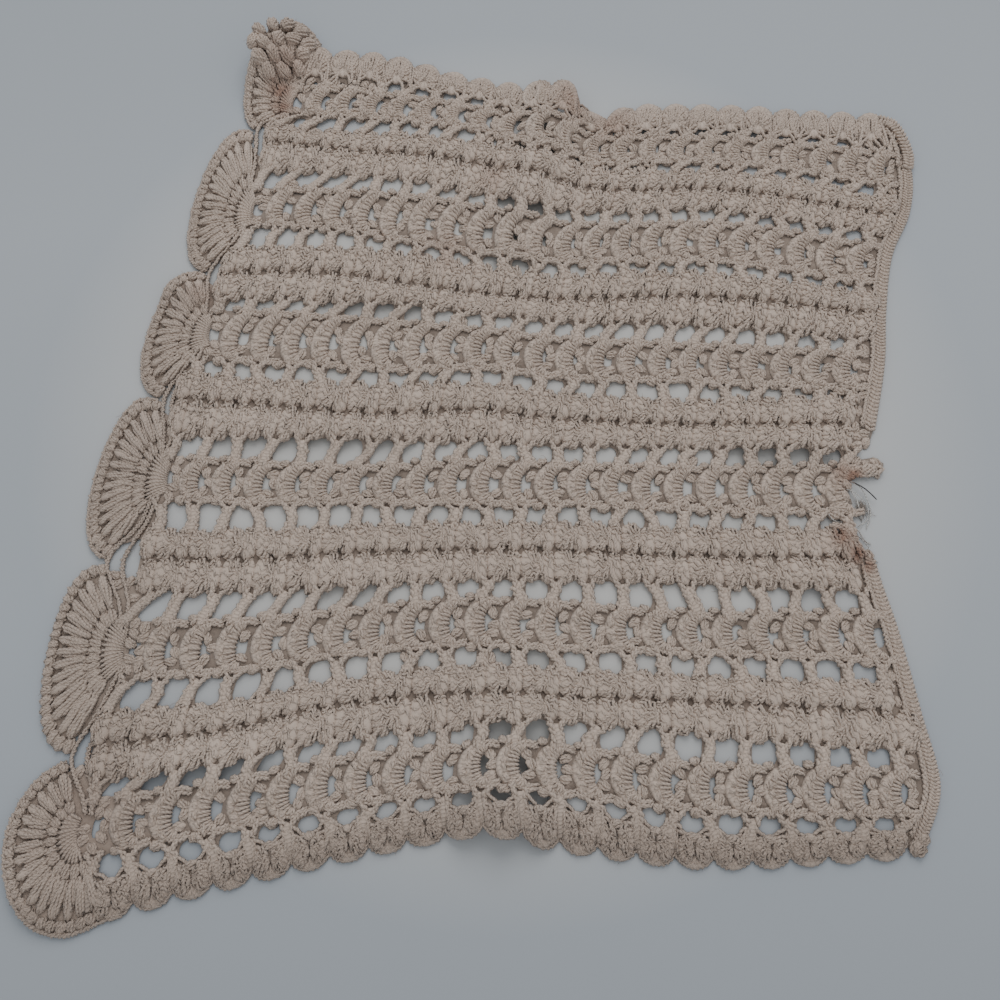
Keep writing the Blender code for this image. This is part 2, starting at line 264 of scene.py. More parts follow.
def ridge_height(x, y):
    """Height of the cloth's underside over plan positions."""
    height = np.zeros(np.shape(x))
    for x0, y0, x1, y1, start, end, half_width in RIDGES:
        dx, dy = x1 - x0, y1 - y0
        share = np.clip(((x - x0) * dx + (y - y0) * dy) / (dx * dx + dy * dy), 0, 1)
        away = np.hypot(x - x0 - share * dx, y - y0 - share * dy) / half_width
        settled = np.interp(max(start, end), RIDGE_HEIGHTS, RIDGE_SETTLED)
        rise = settled * (start + (end - start) * share) * (1 - np.minimum(away, 1) ** 2) ** 2
        height = np.maximum(height, rise)
    for x0, y0, direction, arc, low, full, lift in LIFTED_RIMS:
        radius = np.hypot(x - x0, y - y0)
        turn = np.abs((np.degrees(np.arctan2(y - y0, x - x0)) - direction + 180) % 360 - 180)
        t = np.clip((radius - low) / (full - low), 0, 1)
        rise = lift * t * t * (3 - 2 * t) * (1 - np.minimum(turn / arc, 1) ** 2) ** 2
        height = np.maximum(height, np.where(radius < RIM_REACH, rise, 0))
    return height


def window_values(strip, column):
    """Place, lean, width and height of the windows between lines strip and strip + 1."""
    column = np.clip(np.asarray(column, float), 0, COLUMNS - 1)
    left, right, lean_left, lean_right, width, height, runs = WINDOW_ROWS[strip]
    share = column / (COLUMNS - 1)
    place = left + (right - left) * share
    lean = lean_left + (lean_right - lean_left) * np.minimum(1, LEAN_FADE * share)
    is_open = np.zeros(column.shape, bool)
    for first, last in runs:
        is_open |= (column > first - RUN_MARGIN) & (column < last + RUN_MARGIN)
    size = np.where(is_open, 1.0, CROWDED)
    worked = np.interp(column, SHARE_COLUMNS, OPEN_SHARE[strip])
    return place, lean, width * size * (1 + worked) / 2, height * size * worked


def local_scale(column, place):
    """Length of one column and of one line at each anchor, in mm."""
    across = lace_point(column + 0.5, place) - lace_point(column - 0.5, place)
    down = lace_point(column, place + LINE_STEP) - lace_point(column, place - LINE_STEP)
    return np.hypot(across[..., 0], across[..., 1]), np.abs(down[..., 1]) / (2 * LINE_STEP)


def on_plan(x, y, lift):
    """Points over plan positions, in the part's own frame."""
    return np.stack([x - CENTRE[0], y - CENTRE[1], ridge_height(x, y) + lift], axis=-1)


def on_lace(column, place, local):
    """Points worked round anchors on the lace. local is (anchors, points, x y lift) in mm."""
    pitch, gap = local_scale(column, place)
    spots = lace_point(column[:, None] + local[..., 0] / pitch[:, None],
                       place[:, None] - local[..., 1] / gap[:, None])
    return on_plan(spots[..., 0], spots[..., 1], local[..., 2])


def smooth(controls, steps):
    """A smooth run of points through each row of control points."""
    controls = np.asarray(controls, float)
    knots = np.arange(controls.shape[-2])
    return curve_weights(knots, np.linspace(0, knots[-1], steps)) @ controls


def controls(*points):
    """Control points whose coordinates may be numbers or one value for each stitch."""
    count = max(np.size(value) for point in points for value in point)
    spread = [[np.broadcast_to(np.asarray(value, float), (count,)) for value in point] for point in points]
    return np.stack([np.stack(point, axis=-1) for point in spread], axis=1)


def uneven(count, size):
    """One small random value for each stitch."""
    return HAND.uniform(-size, size, count)


# ---- yarn tubes ----
def directions(paths, closed=False):
    """Unit vectors along, beside and over every point of every path."""
    ahead = np.roll(paths, -1, axis=1) - np.roll(paths, 1, axis=1)
    if not closed:
        ahead[:, 0] = paths[:, 1] - paths[:, 0]
        ahead[:, -1] = paths[:, -1] - paths[:, -2]
    ahead /= np.linalg.norm(ahead, axis=2, keepdims=True) + 1e-9
    beside = np.cross(ahead, (0.02, 0.03, 1.0))
    beside /= np.linalg.norm(beside, axis=2, keepdims=True) + 1e-9
    return ahead, beside, np.cross(beside, ahead)


def run_length(paths):
    """Distance along every path at each of its points."""
    steps = np.linalg.norm(np.diff(paths, axis=1), axis=2)
    return np.concatenate([np.zeros((len(paths), 1)), np.cumsum(steps, axis=1)], axis=1)


def twisted(paths, spread, turn_length, closed=False, strands=2):
    """Strands that wind round each other along every path."""
    _, beside, over = directions(paths, closed)
    along = run_length(paths)
    if closed:
        turns = np.round(along[:, -1:] / turn_length)
        share = np.arange(paths.shape[1]) / paths.shape[1]
        angle = 2 * pi * turns * share[None, :]
    else:
        angle = 2 * pi * along / turn_length + HAND.uniform(0, 2 * pi, (len(paths), 1))
    found = []
    for strand in range(strands):
        a = angle + 2 * pi * strand / strands
        found.append(paths + spread * (np.cos(a)[..., None] * beside + np.sin(a)[..., None] * over))
    return np.concatenate(found)


class Worked:
    """The strands of one piece, gathered until it is made."""

    def __init__(self):
        self.points, self.corners, self.phase, self.tone, self.sizes = [], [], [], [], []
        self.count = 0

    def add(self, paths, radius, closed=False, sides=SIDES, taper=0.55, flat=1.0):
        """Adds one tube of yarn along every path, pressed flat to a share of its width."""
        runs, steps = paths.shape[:2]
        _, beside, over = directions(paths, closed)
        thick = np.broadcast_to(np.asarray(radius, float), (runs, steps)).copy()
        if not closed:
            thick[:, [0, -1]] *= taper
        angle = np.radians(CORNER_ANGLES) if sides == SIDES else 2 * pi * np.arange(sides) / sides
        ring = (np.cos(angle)[:, None] * beside[:, :, None, :]
                + flat * np.sin(angle)[:, None] * over[:, :, None, :])
        points = paths[:, :, None, :] + thick[:, :, None, None] * ring
        self.points.append(points.reshape(-1, 3))

        last = steps if closed else steps - 1
        start = self.count + steps * sides * np.arange(runs)[:, None, None]
        i = np.arange(last)[:, None]
        j = np.arange(sides)[None, :]
        here, ahead = i * sides, (i + 1) % steps * sides
        j_next = (j + 1) % sides
        quads = np.stack([here + j, here + j_next, ahead + j_next, ahead + j], axis=-1).reshape(-1, 4)
        self.corners.append((quads[None] + start).reshape(-1))
        self.sizes.append(np.full(runs * len(quads), 4))

        along = run_length(paths)
        if closed:
            along = np.concatenate([along, along[:, -1:] + along[:, 1:2]], axis=1)
        turns = along / PLY_LENGTH + HAND.uniform(0, 1, (runs, 1))
        near = turns[:, :last, None] + PLIES * j[None] / sides
        far = turns[:, 1:last + 1, None] + PLIES * j[None] / sides
        step = PLIES / sides
        phase = np.stack([near, near + step, far + step, far], axis=-1)
        self.phase.append(phase.reshape(-1))
        self.tone.append(np.repeat(HAND.uniform(0, 1, runs), quads.size))
        if not closed:
            first = np.arange(sides)[::-1]
            end = np.arange(sides) + (steps - 1) * sides
            caps = np.stack([first, end])[None] + start
            self.corners.append(caps.reshape(-1))
            self.sizes.append(np.full(runs * 2, sides))
            self.phase.append(np.zeros(caps.size))
            self.tone.append(np.full(caps.size, 0.5))
        self.count += runs * steps * sides

    def add_cores(self, points):
        """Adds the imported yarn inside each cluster, as a low closed dome."""
        runs, number = points.shape[:2]
        round_turn = len(CORE_TURN)
        rings = len(CORE_RINGS)
        j = np.arange(round_turn)
        j_next = (j + 1) % round_turn
        quads = np.concatenate([
            np.stack([ring * round_turn + j, ring * round_turn + j_next,
                      (ring + 1) * round_turn + j_next, (ring + 1) * round_turn + j], axis=-1)
            for ring in range(rings - 1)])
        top = np.stack([(rings - 1) * round_turn + j, (rings - 1) * round_turn + j_next,
                        np.full(round_turn, number - 1)], axis=-1)
        start = (self.count + number * np.arange(runs))[:, None, None]
        bottom = j[None, ::-1]
        for faces in (quads, top, bottom):
            corners = (faces[None] + start).reshape(-1)
            self.corners.append(corners)
            self.sizes.append(np.full(len(corners) // faces.shape[1], faces.shape[1]))
            self.phase.append(np.full(len(corners), CORE_PHASE))
            self.tone.append(np.full(len(corners), CORE_TONE))
        self.points.append(points.reshape(-1, 3))
        self.count += runs * number

    def make(self, name, material, in_the_open=False):
        """The piece as one mesh object, with painted shade in its depths unless it lies in the open."""
        points = np.concatenate(self.points)
        corners = np.concatenate(self.corners)
        sizes = np.concatenate(self.sizes)
        mesh = mesh_from(name, points, corners, sizes)
        yarn = mesh.uv_layers.new(name="yarn")
        uv = np.stack([np.concatenate(self.phase), np.concatenate(self.tone)], axis=-1)
        yarn.data.foreach_set("uv", uv.astype(np.float32).ravel())
        mark_stains_and_shade(mesh, points, in_the_open)
        return dress(name, mesh, material)


def mesh_from(name, points, corners, sizes):
    """A mesh from points in mm, the corners of all its faces in turn, and each face's size."""
    mesh = bpy.data.meshes.new(name)
    mesh.vertices.add(len(points))
    mesh.vertices.foreach_set("co", (points * MM).astype(np.float32).ravel())
    mesh.loops.add(len(corners))
    mesh.loops.foreach_set("vertex_index", corners.astype(np.int32))
    mesh.polygons.add(len(sizes))
    starts = np.concatenate([[0], np.cumsum(sizes)[:-1]])
    mesh.polygons.foreach_set("loop_start", starts.astype(np.int32))
    mesh.update(calc_edges=True)
    mesh.validate()
    mesh.shade_smooth()
    return mesh


def line_level(line, x):
    """The y of one working line at plan positions' x."""
    _, left, right, _, levels = LINES[line]
    return np.interp(x, left + (right - left) * np.array(STATIONS) / COLUMNS, levels)


def painted_edge_falloff(x, y):
    """How much painted shade darkens the cloth at plan positions, where the light falls off towards its
    edges and its left end.
    """
    found = np.zeros(np.shape(x))
    for inward, (reach, fade, strength) in (
            (line_level(NEAR_EDGE, x) - y, NEAR_PAINTED_SHADE),
            (y - line_level(FAR_EDGE, x), FAR_PAINTED_SHADE),
            (-x, LEFT_PAINTED_SHADE)):
        found = np.maximum(found, np.clip((inward + reach) / fade, 0, 1) * strength)
    return found


def store(mesh, name, values):
    """Stores one value for each point of a mesh, for the finishes to read."""
    layer = mesh.attributes.new(name, "FLOAT", "POINT")
    layer.data.foreach_set("value", values.astype(np.float32))


def mark_stains_and_shade(mesh, points, in_the_open=False):
    """Stores how stained each point is, its painted shade towards the edges, and how far it stands above
    the ground of the lace, which sets its painted shade in the depths.
    """
    x, y = points[:, 0] + CENTRE[0], points[:, 1] + CENTRE[1]
    stain = np.zeros(len(points))
    for x0, y0, radius, strength in STAINS:
        away = ((x - x0) ** 2 + (y - y0) ** 2) / radius ** 2
        stain = np.maximum(stain, strength * np.exp(-away * STAIN_EDGE))
    standing = (points[:, 2] - ridge_height(x, y)) / STANDING_FULL
    store(mesh, "stain", stain)
    store(mesh, "painted_edge_shade", painted_edge_falloff(x, y))
    store(mesh, "standing", np.clip(standing + in_the_open, 0, 1))


PIECES = []                     # every piece of the lace, in the order of making


def dress(name, mesh, material):
    """Puts a finished mesh in the scene as a piece of the lace."""
    piece = bpy.data.objects.new(name, mesh)
    mesh.materials.append(material)
    bpy.context.scene.collection.objects.link(piece)
    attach(piece, "root")
    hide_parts("crochet_lace")
    PIECES.append(piece)
    return piece


# ---- stitches ----
LEG_POINTS = 11                 # points along a leg
LEG_STRANDS = (0.62, 0.92)      # thinnest and thickest radius of a leg's strands
LEG_TWIST = (0.58, 4.4)         # how far a leg's strands stand apart, and the length of their twist
LEG_TUCK = 2.0                  # how far a leg runs in under the stitches above and below it


def legs(work, strip):
    """The pairs of tall posts that stand between the windows of one strip."""
    columns = np.arange(0.0, COLUMNS + 1)
    before = window_values(strip, columns - 1)
    after = window_values(strip, columns)
    place, lean, _, height = ((a + b) / 2 for a, b in zip(before, after))
    _, gap = local_scale(columns, place)
    half = height / 2
    above = np.full(len(columns), LEG_TUCK)
    below = np.full(len(columns), LEG_TUCK + 0.4)
    if strip == FAR_EDGE:
        above = place * gap - half - LEG_TUCK
    if strip == NEAR_EDGE - 1:
        below = (NEAR_EDGE - place) * gap - half - LEG_TUCK
    count = len(columns)
    drift, slant = uneven(count, 1.2), uneven(count, 1.4)
    slim = 0.98 + uneven(count, 0.24)
    middle = 0
    for side in (-1, 1):
        aside = side * slim
        crown = 1.45 + uneven(count, 0.25)
        path = controls(
            (lean * (half + 2.0) + slant + side * 3.2 + uneven(count, 0.5), half + above, 1.7),
            (lean * half * 0.8 + slant + aside * 1.3, half * 0.75, crown + 0.2),
            (drift + aside + uneven(count, 0.15), 0.0, crown + uneven(count, 0.2)),
            (-lean * half * 0.8 - slant + aside * 1.2, -half * 0.75, crown),
            (-lean * (half + 1.0) - slant + side * 1.9 + uneven(count, 0.3), -half - below, 1.7),
        )
        posts = on_lace(columns, place, smooth(path, LEG_POINTS))
        posts += HAND.uniform(-0.28, 0.28, posts.shape)
        lumps = HAND.uniform(*LEG_STRANDS, (2 * count, LEG_POINTS))
        work.add(twisted(posts, *LEG_TWIST), lumps)
        middle = middle + posts[:, 2::2] / 2
    work.add(middle - (0.0, 0.0, 0.3), 1.8, flat=0.6, sides=6)


def half_reach(line, strip, column):
    """Distance from a line to the near side of the windows beside it, and their sideways run."""
    place, lean, _, height = window_values(strip, column - 0.5)
    _, gap = local_scale(column, (place + line) / 2)
    return np.abs(place - line) * gap - height / 2, lean * height / 2


def curled_ribs(count, ribs, radius, dome, base, swirl, steps=8):
    """Strands that curl over a round dome of unit size.

    Yields along, aside and lift at each of their points, then their wobble and their radius.
    """
    along_turn = np.linspace(0.10, 0.90, steps) * pi
    curl = swirl * (1 + uneven(count, 0.6))
    cross = 0.75 + uneven(count, 0.35)
    for rib in np.linspace(-0.92, 0.92, ribs):
        side_turn = np.arcsin(rib) + uneven(count, 0.08)
        around = side_turn[:, None] + curl[:, None] * (along_turn - pi / 2) * 0.5
        along = np.cos(along_turn)[None, :] * 0.95
        aside = np.sin(along_turn)[None, :] * np.sin(around)
        rise = (np.sin(along_turn)[None, :] * np.maximum(np.cos(around), 0.0)) ** 0.7
        lean = np.where(rib > 0.25, cross, 0.0)[:, None]
        c, s = np.cos(lean), np.sin(lean)
        wobble = HAND.uniform(-1, 1, (3, count, steps)) * 0.21
        thick = radius * (1 + 0.14 * HAND.uniform(-1, 1))
        lift = base + dome * rise + wobble[2] + uneven(count, 0.1)[:, None]
        yield along * c - aside * s, along * s + aside * c, lift, wobble[:2], thick


def spread_ribs(count, ribs, radius, dome, base, steps, pinch, tuck, spread):
    """Strands that spread from one end of a unit cluster and curl under round its other end.

    pinch is the half width of their root, tuck is how far under the dome they start, and spread is
    the turn of the outermost strands. Yields what curled_ribs yields.
    """
    t = np.linspace(0.0, 1.0, steps)
    for rib in np.linspace(-1.0, 1.0, ribs):
        turn = (spread * rib + uneven(count, 0.10))[:, None]
        wave = np.sin(2 * pi * (2.3 * t[None, :] + HAND.uniform(0, 1, (count, 1)))) * np.sin(pi * t)
        along = 0.92 - (0.92 + 0.96 * np.cos(turn)) * t
        aside = pinch * rib * (1 - t) + 1.03 * np.sin(turn) * t ** 0.8 + 0.16 * wave
        crown = np.sin(pi * (tuck + (0.93 - tuck) * t)) ** 0.55 * np.sqrt(1 - 0.8 * rib * rib * t)
        wobble = HAND.uniform(-1, 1, (3, count, steps)) * 0.17
        thick = radius * (1 + 0.14 * HAND.uniform(-1, 1))
        lift = base + dome * crown[None, :] + wobble[2] + uneven(count, 0.15)[:, None]
        yield along, aside, lift, wobble[:2], thick


def core_shape(base, dome):
    """A low dome of unit size: along, aside and lift of its rings, then of its top."""
    along = np.concatenate([np.cos(CORE_TURN) * ring for ring, _ in CORE_RINGS] + [[0.0]])
    aside = np.concatenate([np.sin(CORE_TURN) * ring for ring, _ in CORE_RINGS] + [[0.0]])
    rise = np.concatenate([np.full(len(CORE_TURN), height) for _, height in CORE_RINGS] + [[1.0]])
    return along, aside, base - CORE_SKIRT + (dome + CORE_SKIRT) * rise


def bobbles(work, column, place, x, y, wide, tall, dome=1.1, ribs=8, radius=0.42, base=0.55, tilt=0.0,
            swirl=0.9, steps=8, pinch=None, tuck=0.2, loose=0.45, spread=1.3):
    """Round clusters of yarn about anchors on the lace: spread from a root if pinched, else curled.

    tilt is how far they are turned from upright, and loose is how unevenly.
    """
    count = len(column)
    x, y, wide, tall = (np.broadcast_to(v, (count,))[:, None] for v in (x, y, wide, tall))
    turn = (pi / 2 + tilt + uneven(count, loose))[:, None]
    c, s = np.cos(turn), np.sin(turn)
    if pinch:
        strands = spread_ribs(count, ribs, radius, dome, base, steps, pinch, tuck, spread)
    else:
        strands = curled_ribs(count, ribs, radius, dome, base, swirl, steps)
    for along, aside, lift, wobble, thick in strands:
        local = np.stack([
            x + (wide - 0.6 * radius) * (along * c - aside * s) + wobble[0],
            y + (tall - 0.6 * radius) * (along * s + aside * c) + wobble[1],
            lift,
        ], axis=-1)
        work.add(on_lace(column, place, local), thick)
    along, aside, lift = core_shape(base, dome)
    local = np.stack([
        x + (wide - CORE_INSET) * (along * c - aside * s),
        y + (tall - CORE_INSET) * (along * s + aside * c),
        np.broadcast_to(lift, (count, len(lift))),
    ], axis=-1)
    work.add_cores(on_lace(column, place, local))


def plan_bobbles(work, middle, way, long, wide, dome=1.1, ribs=8, radius=0.42, base=0.55, swirl=0.9,
                 steps=8):
    """Round clusters of yarn at plan positions, each long in its own direction."""
    count = len(middle)
    long, wide = (np.broadcast_to(v, (count,))[:, None] for v in (long, wide))
    beside = np.stack([-way[:, 1], way[:, 0]], axis=-1)
    for along, aside, lift, wobble, thick in curled_ribs(count, ribs, radius, dome, base, swirl, steps):
        u = (long - 0.6 * radius) * along + wobble[0]
        v = (wide - 0.6 * radius) * aside + wobble[1]
        spots = middle[:, None] + u[..., None] * way[:, None] + v[..., None] * beside[:, None]
        work.add(on_plan(spots[..., 0], spots[..., 1], lift), thick)
    along, aside, lift = core_shape(base, dome)
    spots = (middle[:, None] + ((long - CORE_INSET) * along)[..., None] * way[:, None]
             + ((wide - CORE_INSET) * aside)[..., None] * beside[:, None])
    work.add_cores(on_plan(spots[..., 0], spots[..., 1], lift))


# Each column of a band has a fan that lies on its side, its root to the right, and an oval beside it.
# Columns: where the cluster stands in its column, its half width in columns, its ribs, the turn of
# its root from the far side, how wide its root is, how far it spreads, and how far it reaches over
# the band's middle. First for the far side of a band and then for its near side.
BAND_CLUSTERS = {
    1: ((0.36, 0.385, 9, -pi / 2, 0.12, 1.7, 0.8), (0.86, 0.29, 6, 1.0, 0.20, 1.5, 1.4)),
    -1: ((0.33, 0.390, 9, -pi / 2, 0.12, 1.7, 0.9), (0.83, 0.29, 6, 1.0, 0.20, 1.5, 0.6)),
}
BAND_BASES = {1: 0.85, -1: 0.5}  # how high the clusters of each side start: the far side lies on top
EXTRA_SHELLS = 2                # columns past the last one in which the bands may still have clusters
BORDER_WIDTH = 6.2              # width of the ribbed border down the right side


def half_band(work, line, side):
    """One side of a solid band: a fan on its side and an oval in each column, packed close."""
    strip = line - 1 if side > 0 else line
    room = border_point(np.array([float(line)]))[0, 0] - BORDER_WIDTH
    for stand, half_width, ribs, root_turn, pinch, spread, inner in BAND_CLUSTERS[side]:
        centre = np.arange(-1, COLUMNS + EXTRA_SHELLS) + stand
        centre = centre[(centre > -0.55) & (lace_point(centre, line)[:, 0] < room + 0.2)]
        count = len(centre)
        reach, run = half_reach(line, strip, centre)
        tall = reach + 1.1 + uneven(count, 0.75)
        pitch, _ = local_scale(centre, line)
        wide = pitch * half_width * (1.03 + uneven(count, 0.08))
        y = side * (tall - inner) / 2 + uneven(count, 0.12)
        bobbles(work, centre, np.full(count, float(line)), -side * run * 0.5, y, wide, (tall + inner) / 2,
                dome=2.1, ribs=ribs, radius=0.66, base=BAND_BASES[side], tilt=root_turn, steps=9,
                pinch=pinch, tuck=0.1, loose=0.22, spread=spread)


def shell_band(line):
    """A solid band of clusters, worked outwards both ways from its middle."""
    work = Worked()
    half_band(work, line, 1)
    half_band(work, line, -1)
    return work


def picots(work, column, place, x, y, size):
    """Small bulky knots that stand on the chains."""
    count = len(column)
    bobbles(work, column, place, x + uneven(count, 0.5), y + uneven(count, 0.5), size * 1.4, size,
            dome=1.3, ribs=5, radius=0.58, base=0.5, tilt=0.6, swirl=1.6, steps=7, loose=1.2)


FAN_STRANDS = 15                # strands that wrap the root loop of a fan
FAN_ROOT = 1.4                  # how far the root stands to the right of the fan's anchor
FAN_TOPS = (110, 136, 162, 188, 214, 240)   # angles of the looped tops about the root, in degrees
CHAIN_POINTS = 8                # points along the chains above and below a fan


def fan_cores(work, column, anchor, arcs):
    """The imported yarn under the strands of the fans. arcs holds one row for each layer: its first and
    last angle, x of its centre, half width, y of its centre, half height, lift, radius and flatness."""
    for first, last, x, wide, y, tall, lift, radius, flat in arcs:
        turn = np.radians(np.linspace(first, last, 8))
        core = np.stack([
            x + wide[:, None] * np.cos(turn),
            y[:, None] + tall[:, None] * np.sin(turn),
            np.full((len(column), len(turn)), lift),
        ], axis=-1)
        work.add(on_lace(column, anchor, core), radius, flat=flat, sides=6)


def fan_row(line):
    """A row of fans: strands that wrap a root loop, their looped tops, and their picots and chains."""
    work = Worked()
    column = np.arange(1.0, COLUMNS + 1)
    count = len(column)
    anchor = np.full(count, float(line))
    above, _ = half_reach(line, line - 1, column)
    below, _ = half_reach(line, line, column)
    pitch, _ = local_scale(column, anchor)
    middle = (above - below) / 2
    span = (above + below) / 2
    root = np.maximum(span - 2.3, 2.4)
    size = pitch / EVEN_PITCH
    for i in range(FAN_STRANDS):
        angle = radians(82 + 196 * i / (FAN_STRANDS - 1)) + uneven(count, 0.04)
        cosine, sine = np.cos(angle), np.sin(angle)
        path = controls(*(
            (FAN_ROOT + wide * cosine, middle + tall * sine, lift + uneven(count, 0.12))
            for wide, tall, lift in (
                (1.35, root * 0.74, 0.8), (2.5 * size, root * 0.90, 1.9),
                (4.2 * size, root + 0.3, 2.1), (5.5 * size, root + 1.0, 1.4))))
        work.add(on_lace(column, anchor, smooth(path, 7)), 0.60 + 0.05 * (i % 2))
    fan_cores(work, column, anchor, (
        (88, 272, FAN_ROOT, 4.0 * size, middle, root * 0.98, 1.15, 2.1, 0.40),
        (100, 262, 1.3, 6.1 * size, middle, root + 0.4, 1.0, 2.3, 0.42)))
    for angle in FAN_TOPS:
        x = 1.2 + 6.1 * size * np.cos(radians(angle)) + uneven(count, 0.45)
        y = middle + (root + 0.8) * np.sin(radians(angle)) + uneven(count, 0.45)
        bobbles(work, column, anchor, x, y, 1.6 + uneven(count, 0.3), 2.1, dome=1.8, ribs=3, radius=0.64,
                swirl=1.6, steps=7, tilt=radians(angle) - pi / 2, loose=0.8)
    picots(work, column, anchor, -4.6 * size, above - 0.3, 1.4)
    picots(work, column, anchor, -4.5 * size, uneven(count, 0.7) - below + 1.3, 1.8 + uneven(count, 0.3))
    for side in (1, -1):
        level = side * (root + 1.2) + middle
        for shift in (0.0, -side * 1.1):
            path = controls(
                (-1.4, level - side * 0.6 + shift, 1.5),
                (1.4, level + side * 0.2 + shift, 1.5),
                (3.6, level + side * 0.2 + shift, 1.5),
                (6.2, level - side * 0.5 + shift, 1.4),
            )
            chain = on_lace(column, anchor, smooth(path, CHAIN_POINTS))
            work.add(twisted(chain, 0.50, 3.0), HAND.uniform(0.52, 0.74, (2 * count, CHAIN_POINTS)))
    return work


SHELL_POSTS = 13                # tall stitches that make one edge shell
SHELL_BULGE = 2.2               # how far an edge shell rounds out past its two cusps
SHELL_DEPTH = 8.4               # deepest that an edge shell reaches into the lace
POST_SHARES = (0.5, 0.76, 0.95)  # where along a post its lift is set, after its inner end
# How high a post of each side's shells stands, from its inner end to the rim.
POST_LIFTS = {1: (1.4, 2.1, 1.9, 1.2), -1: (0.9, 1.1, 1.6, 1.2)}
RIM_POINTS = 16                 # points along the rope round a shell
# The two turns of the rope that rims a shell. Columns: how far in it lies, its lift and its radius.
RIM_ROPES = ((0.0, 0.95, 0.60), (0.9, 1.35, 0.58))


def rim_rise(angle):
    """How far a shell's rim reaches out at an angle from its middle: a little squarer than a circle."""
    return np.sign(np.cos(angle)) * np.abs(np.cos(angle)) ** 0.58


def shell_lobes(work, column, anchor, side, wide, tall, deep):
    """The two clusters in the middle of each shell, and the knot where the near ones start."""
    half = wide * 0.48
    for way in (-1, 1):
        if side > 0:
            bobbles(work, column, anchor, way * half, 0.32 * tall - deep, half * 0.98, tall * 0.46,
                    ribs=5, base=1.1, dome=1.3, tilt=-way * 0.5, radius=0.62, steps=9)
        else:
            bobbles(work, column, anchor, way * half, deep - 0.38 * tall, half * 1.10, tall * 0.56,
                    ribs=9, base=0.8, dome=1.8, tilt=way * 1.35, radius=0.68, steps=9,
                    pinch=0.16, tuck=0.16, loose=0.16, spread=1.55)
    if side < 0:
        bobbles(work, column, anchor, uneven(len(column), 0.5), deep + 0.06 * tall, 2.3, 1.7,
                ribs=4, base=0.9, dome=1.5, radius=0.60, steps=7, swirl=1.6, loose=1.2)


def edge_shells(line):
    """The round shells along one edge, each with the rope that rims it."""
    work = Worked()
    side = 1 if line == FAR_EDGE else -1
    strip = FAR_EDGE if line == FAR_EDGE else line - 1
    column = np.arange(COLUMNS) + 0.5
    count = len(column)
    anchor = np.full(count, float(line))
    reach, _ = half_reach(line, strip, column)
    pitch, _ = local_scale(column, anchor)
    deep = np.minimum(reach - 1.6, SHELL_DEPTH)
    wide = pitch / 2 - 0.05
    tall = deep + SHELL_BULGE - 0.5
    for i in range(SHELL_POSTS):
        angle = radians(-112 + 224 * i / (SHELL_POSTS - 1)) + uneven(count, 0.05)
        x, y = np.sin(angle) * wide, rim_rise(angle) * tall
        inner = 0.10 + 0.22 * (i % 2)
        path = controls(*(
            (share * x + uneven(count, 0.4), side * (share * y - deep) + uneven(count, 0.4), lift)
            for share, lift in zip((inner, *POST_SHARES), POST_LIFTS[side])))
        strand = on_lace(column, anchor, smooth(path, 8))
        work.add(strand + HAND.uniform(-0.22, 0.22, strand.shape), 0.74)
    turn = np.linspace(0, 2 * pi, 17)[:-1]
    core = np.stack([
        (wide * 0.5)[:, None] * np.cos(turn),
        side * ((tall * 0.42)[:, None] * (1 + np.sin(turn)) - deep[:, None]),
        np.full((count, len(turn)), 1.1),
    ], axis=-1)
    work.add(on_lace(column, anchor, core), 2.7 if side > 0 else 2.1, closed=True, flat=0.36, sides=8)
    shell_lobes(work, column, anchor, side, wide, tall, deep)
    turn = np.radians(np.linspace(-100, 100, RIM_POINTS))
    for inset, lift, radius in RIM_ROPES:
        rim = np.stack([
            (wide + 0.3 - inset)[:, None] * np.sin(turn),
            side * ((tall + 0.1 - inset)[:, None] * rim_rise(turn) - deep[:, None]),
            np.full((count, len(turn)), lift),
        ], axis=-1)
        rope = twisted(on_lace(column, anchor, rim), 0.40, 2.4)
        work.add(rope, radius * HAND.uniform(0.78, 1.12, (2 * count, RIM_POINTS)))
    return work


def scallop_outline(row, share):
    """Plan points on a big scallop's outline, from its upper neck at 0 to its lower neck at 1."""
    top, low = np.array(row[:2], float), np.array(row[2:4], float)
    reach, skew = row[4], row[5]
    half = np.hypot(*(top - low)) / 2
    across = (top - low) / (2 * half)
    outward = np.array((-across[1], across[0]))
    angle = pi * (1 - np.asarray(share, float))
    along = half * (-np.cos(angle) + skew * np.sin(angle))
    out = reach * np.abs(np.sin(angle)) ** SCALLOP_FULLNESS
    return (top + low) / 2 + along[..., None] * across + out[..., None] * outward


def scallop_root(number):
    """Where the rows of one big scallop spread from."""
    return lace_point(0.0, 2 * number + 1.0) + (ROOT_SHIFTS[number], 0.0)


# Plan points of the fat lumps where the first scallop curls up on itself.
CURLED_LUMPS = (
    (-97.0, 157.5), (-92.0, 161.0), (-86.5, 162.5), (-81.5, 160.5), (-78.5, 156.0),
    (-95.0, 152.0), (-89.5, 155.0), (-84.0, 156.5), (-80.5, 151.5), (-99.0, 152.5),
    (-96.5, 146.5), (-91.5, 149.0), (-86.5, 149.5), (-82.0, 146.0), (-93.5, 143.0), (-88.0, 144.5),
)
SCALLOP_STRANDS = 15            # strands that wrap a scallop's root loop
SCALLOP_RIM = 0.965             # share of the way out at which the chain rim lies
SCALLOP_RIM_POINTS = 110
RIMLESS_SCALLOP = 4             # the fifth scallop, which has no chain rim
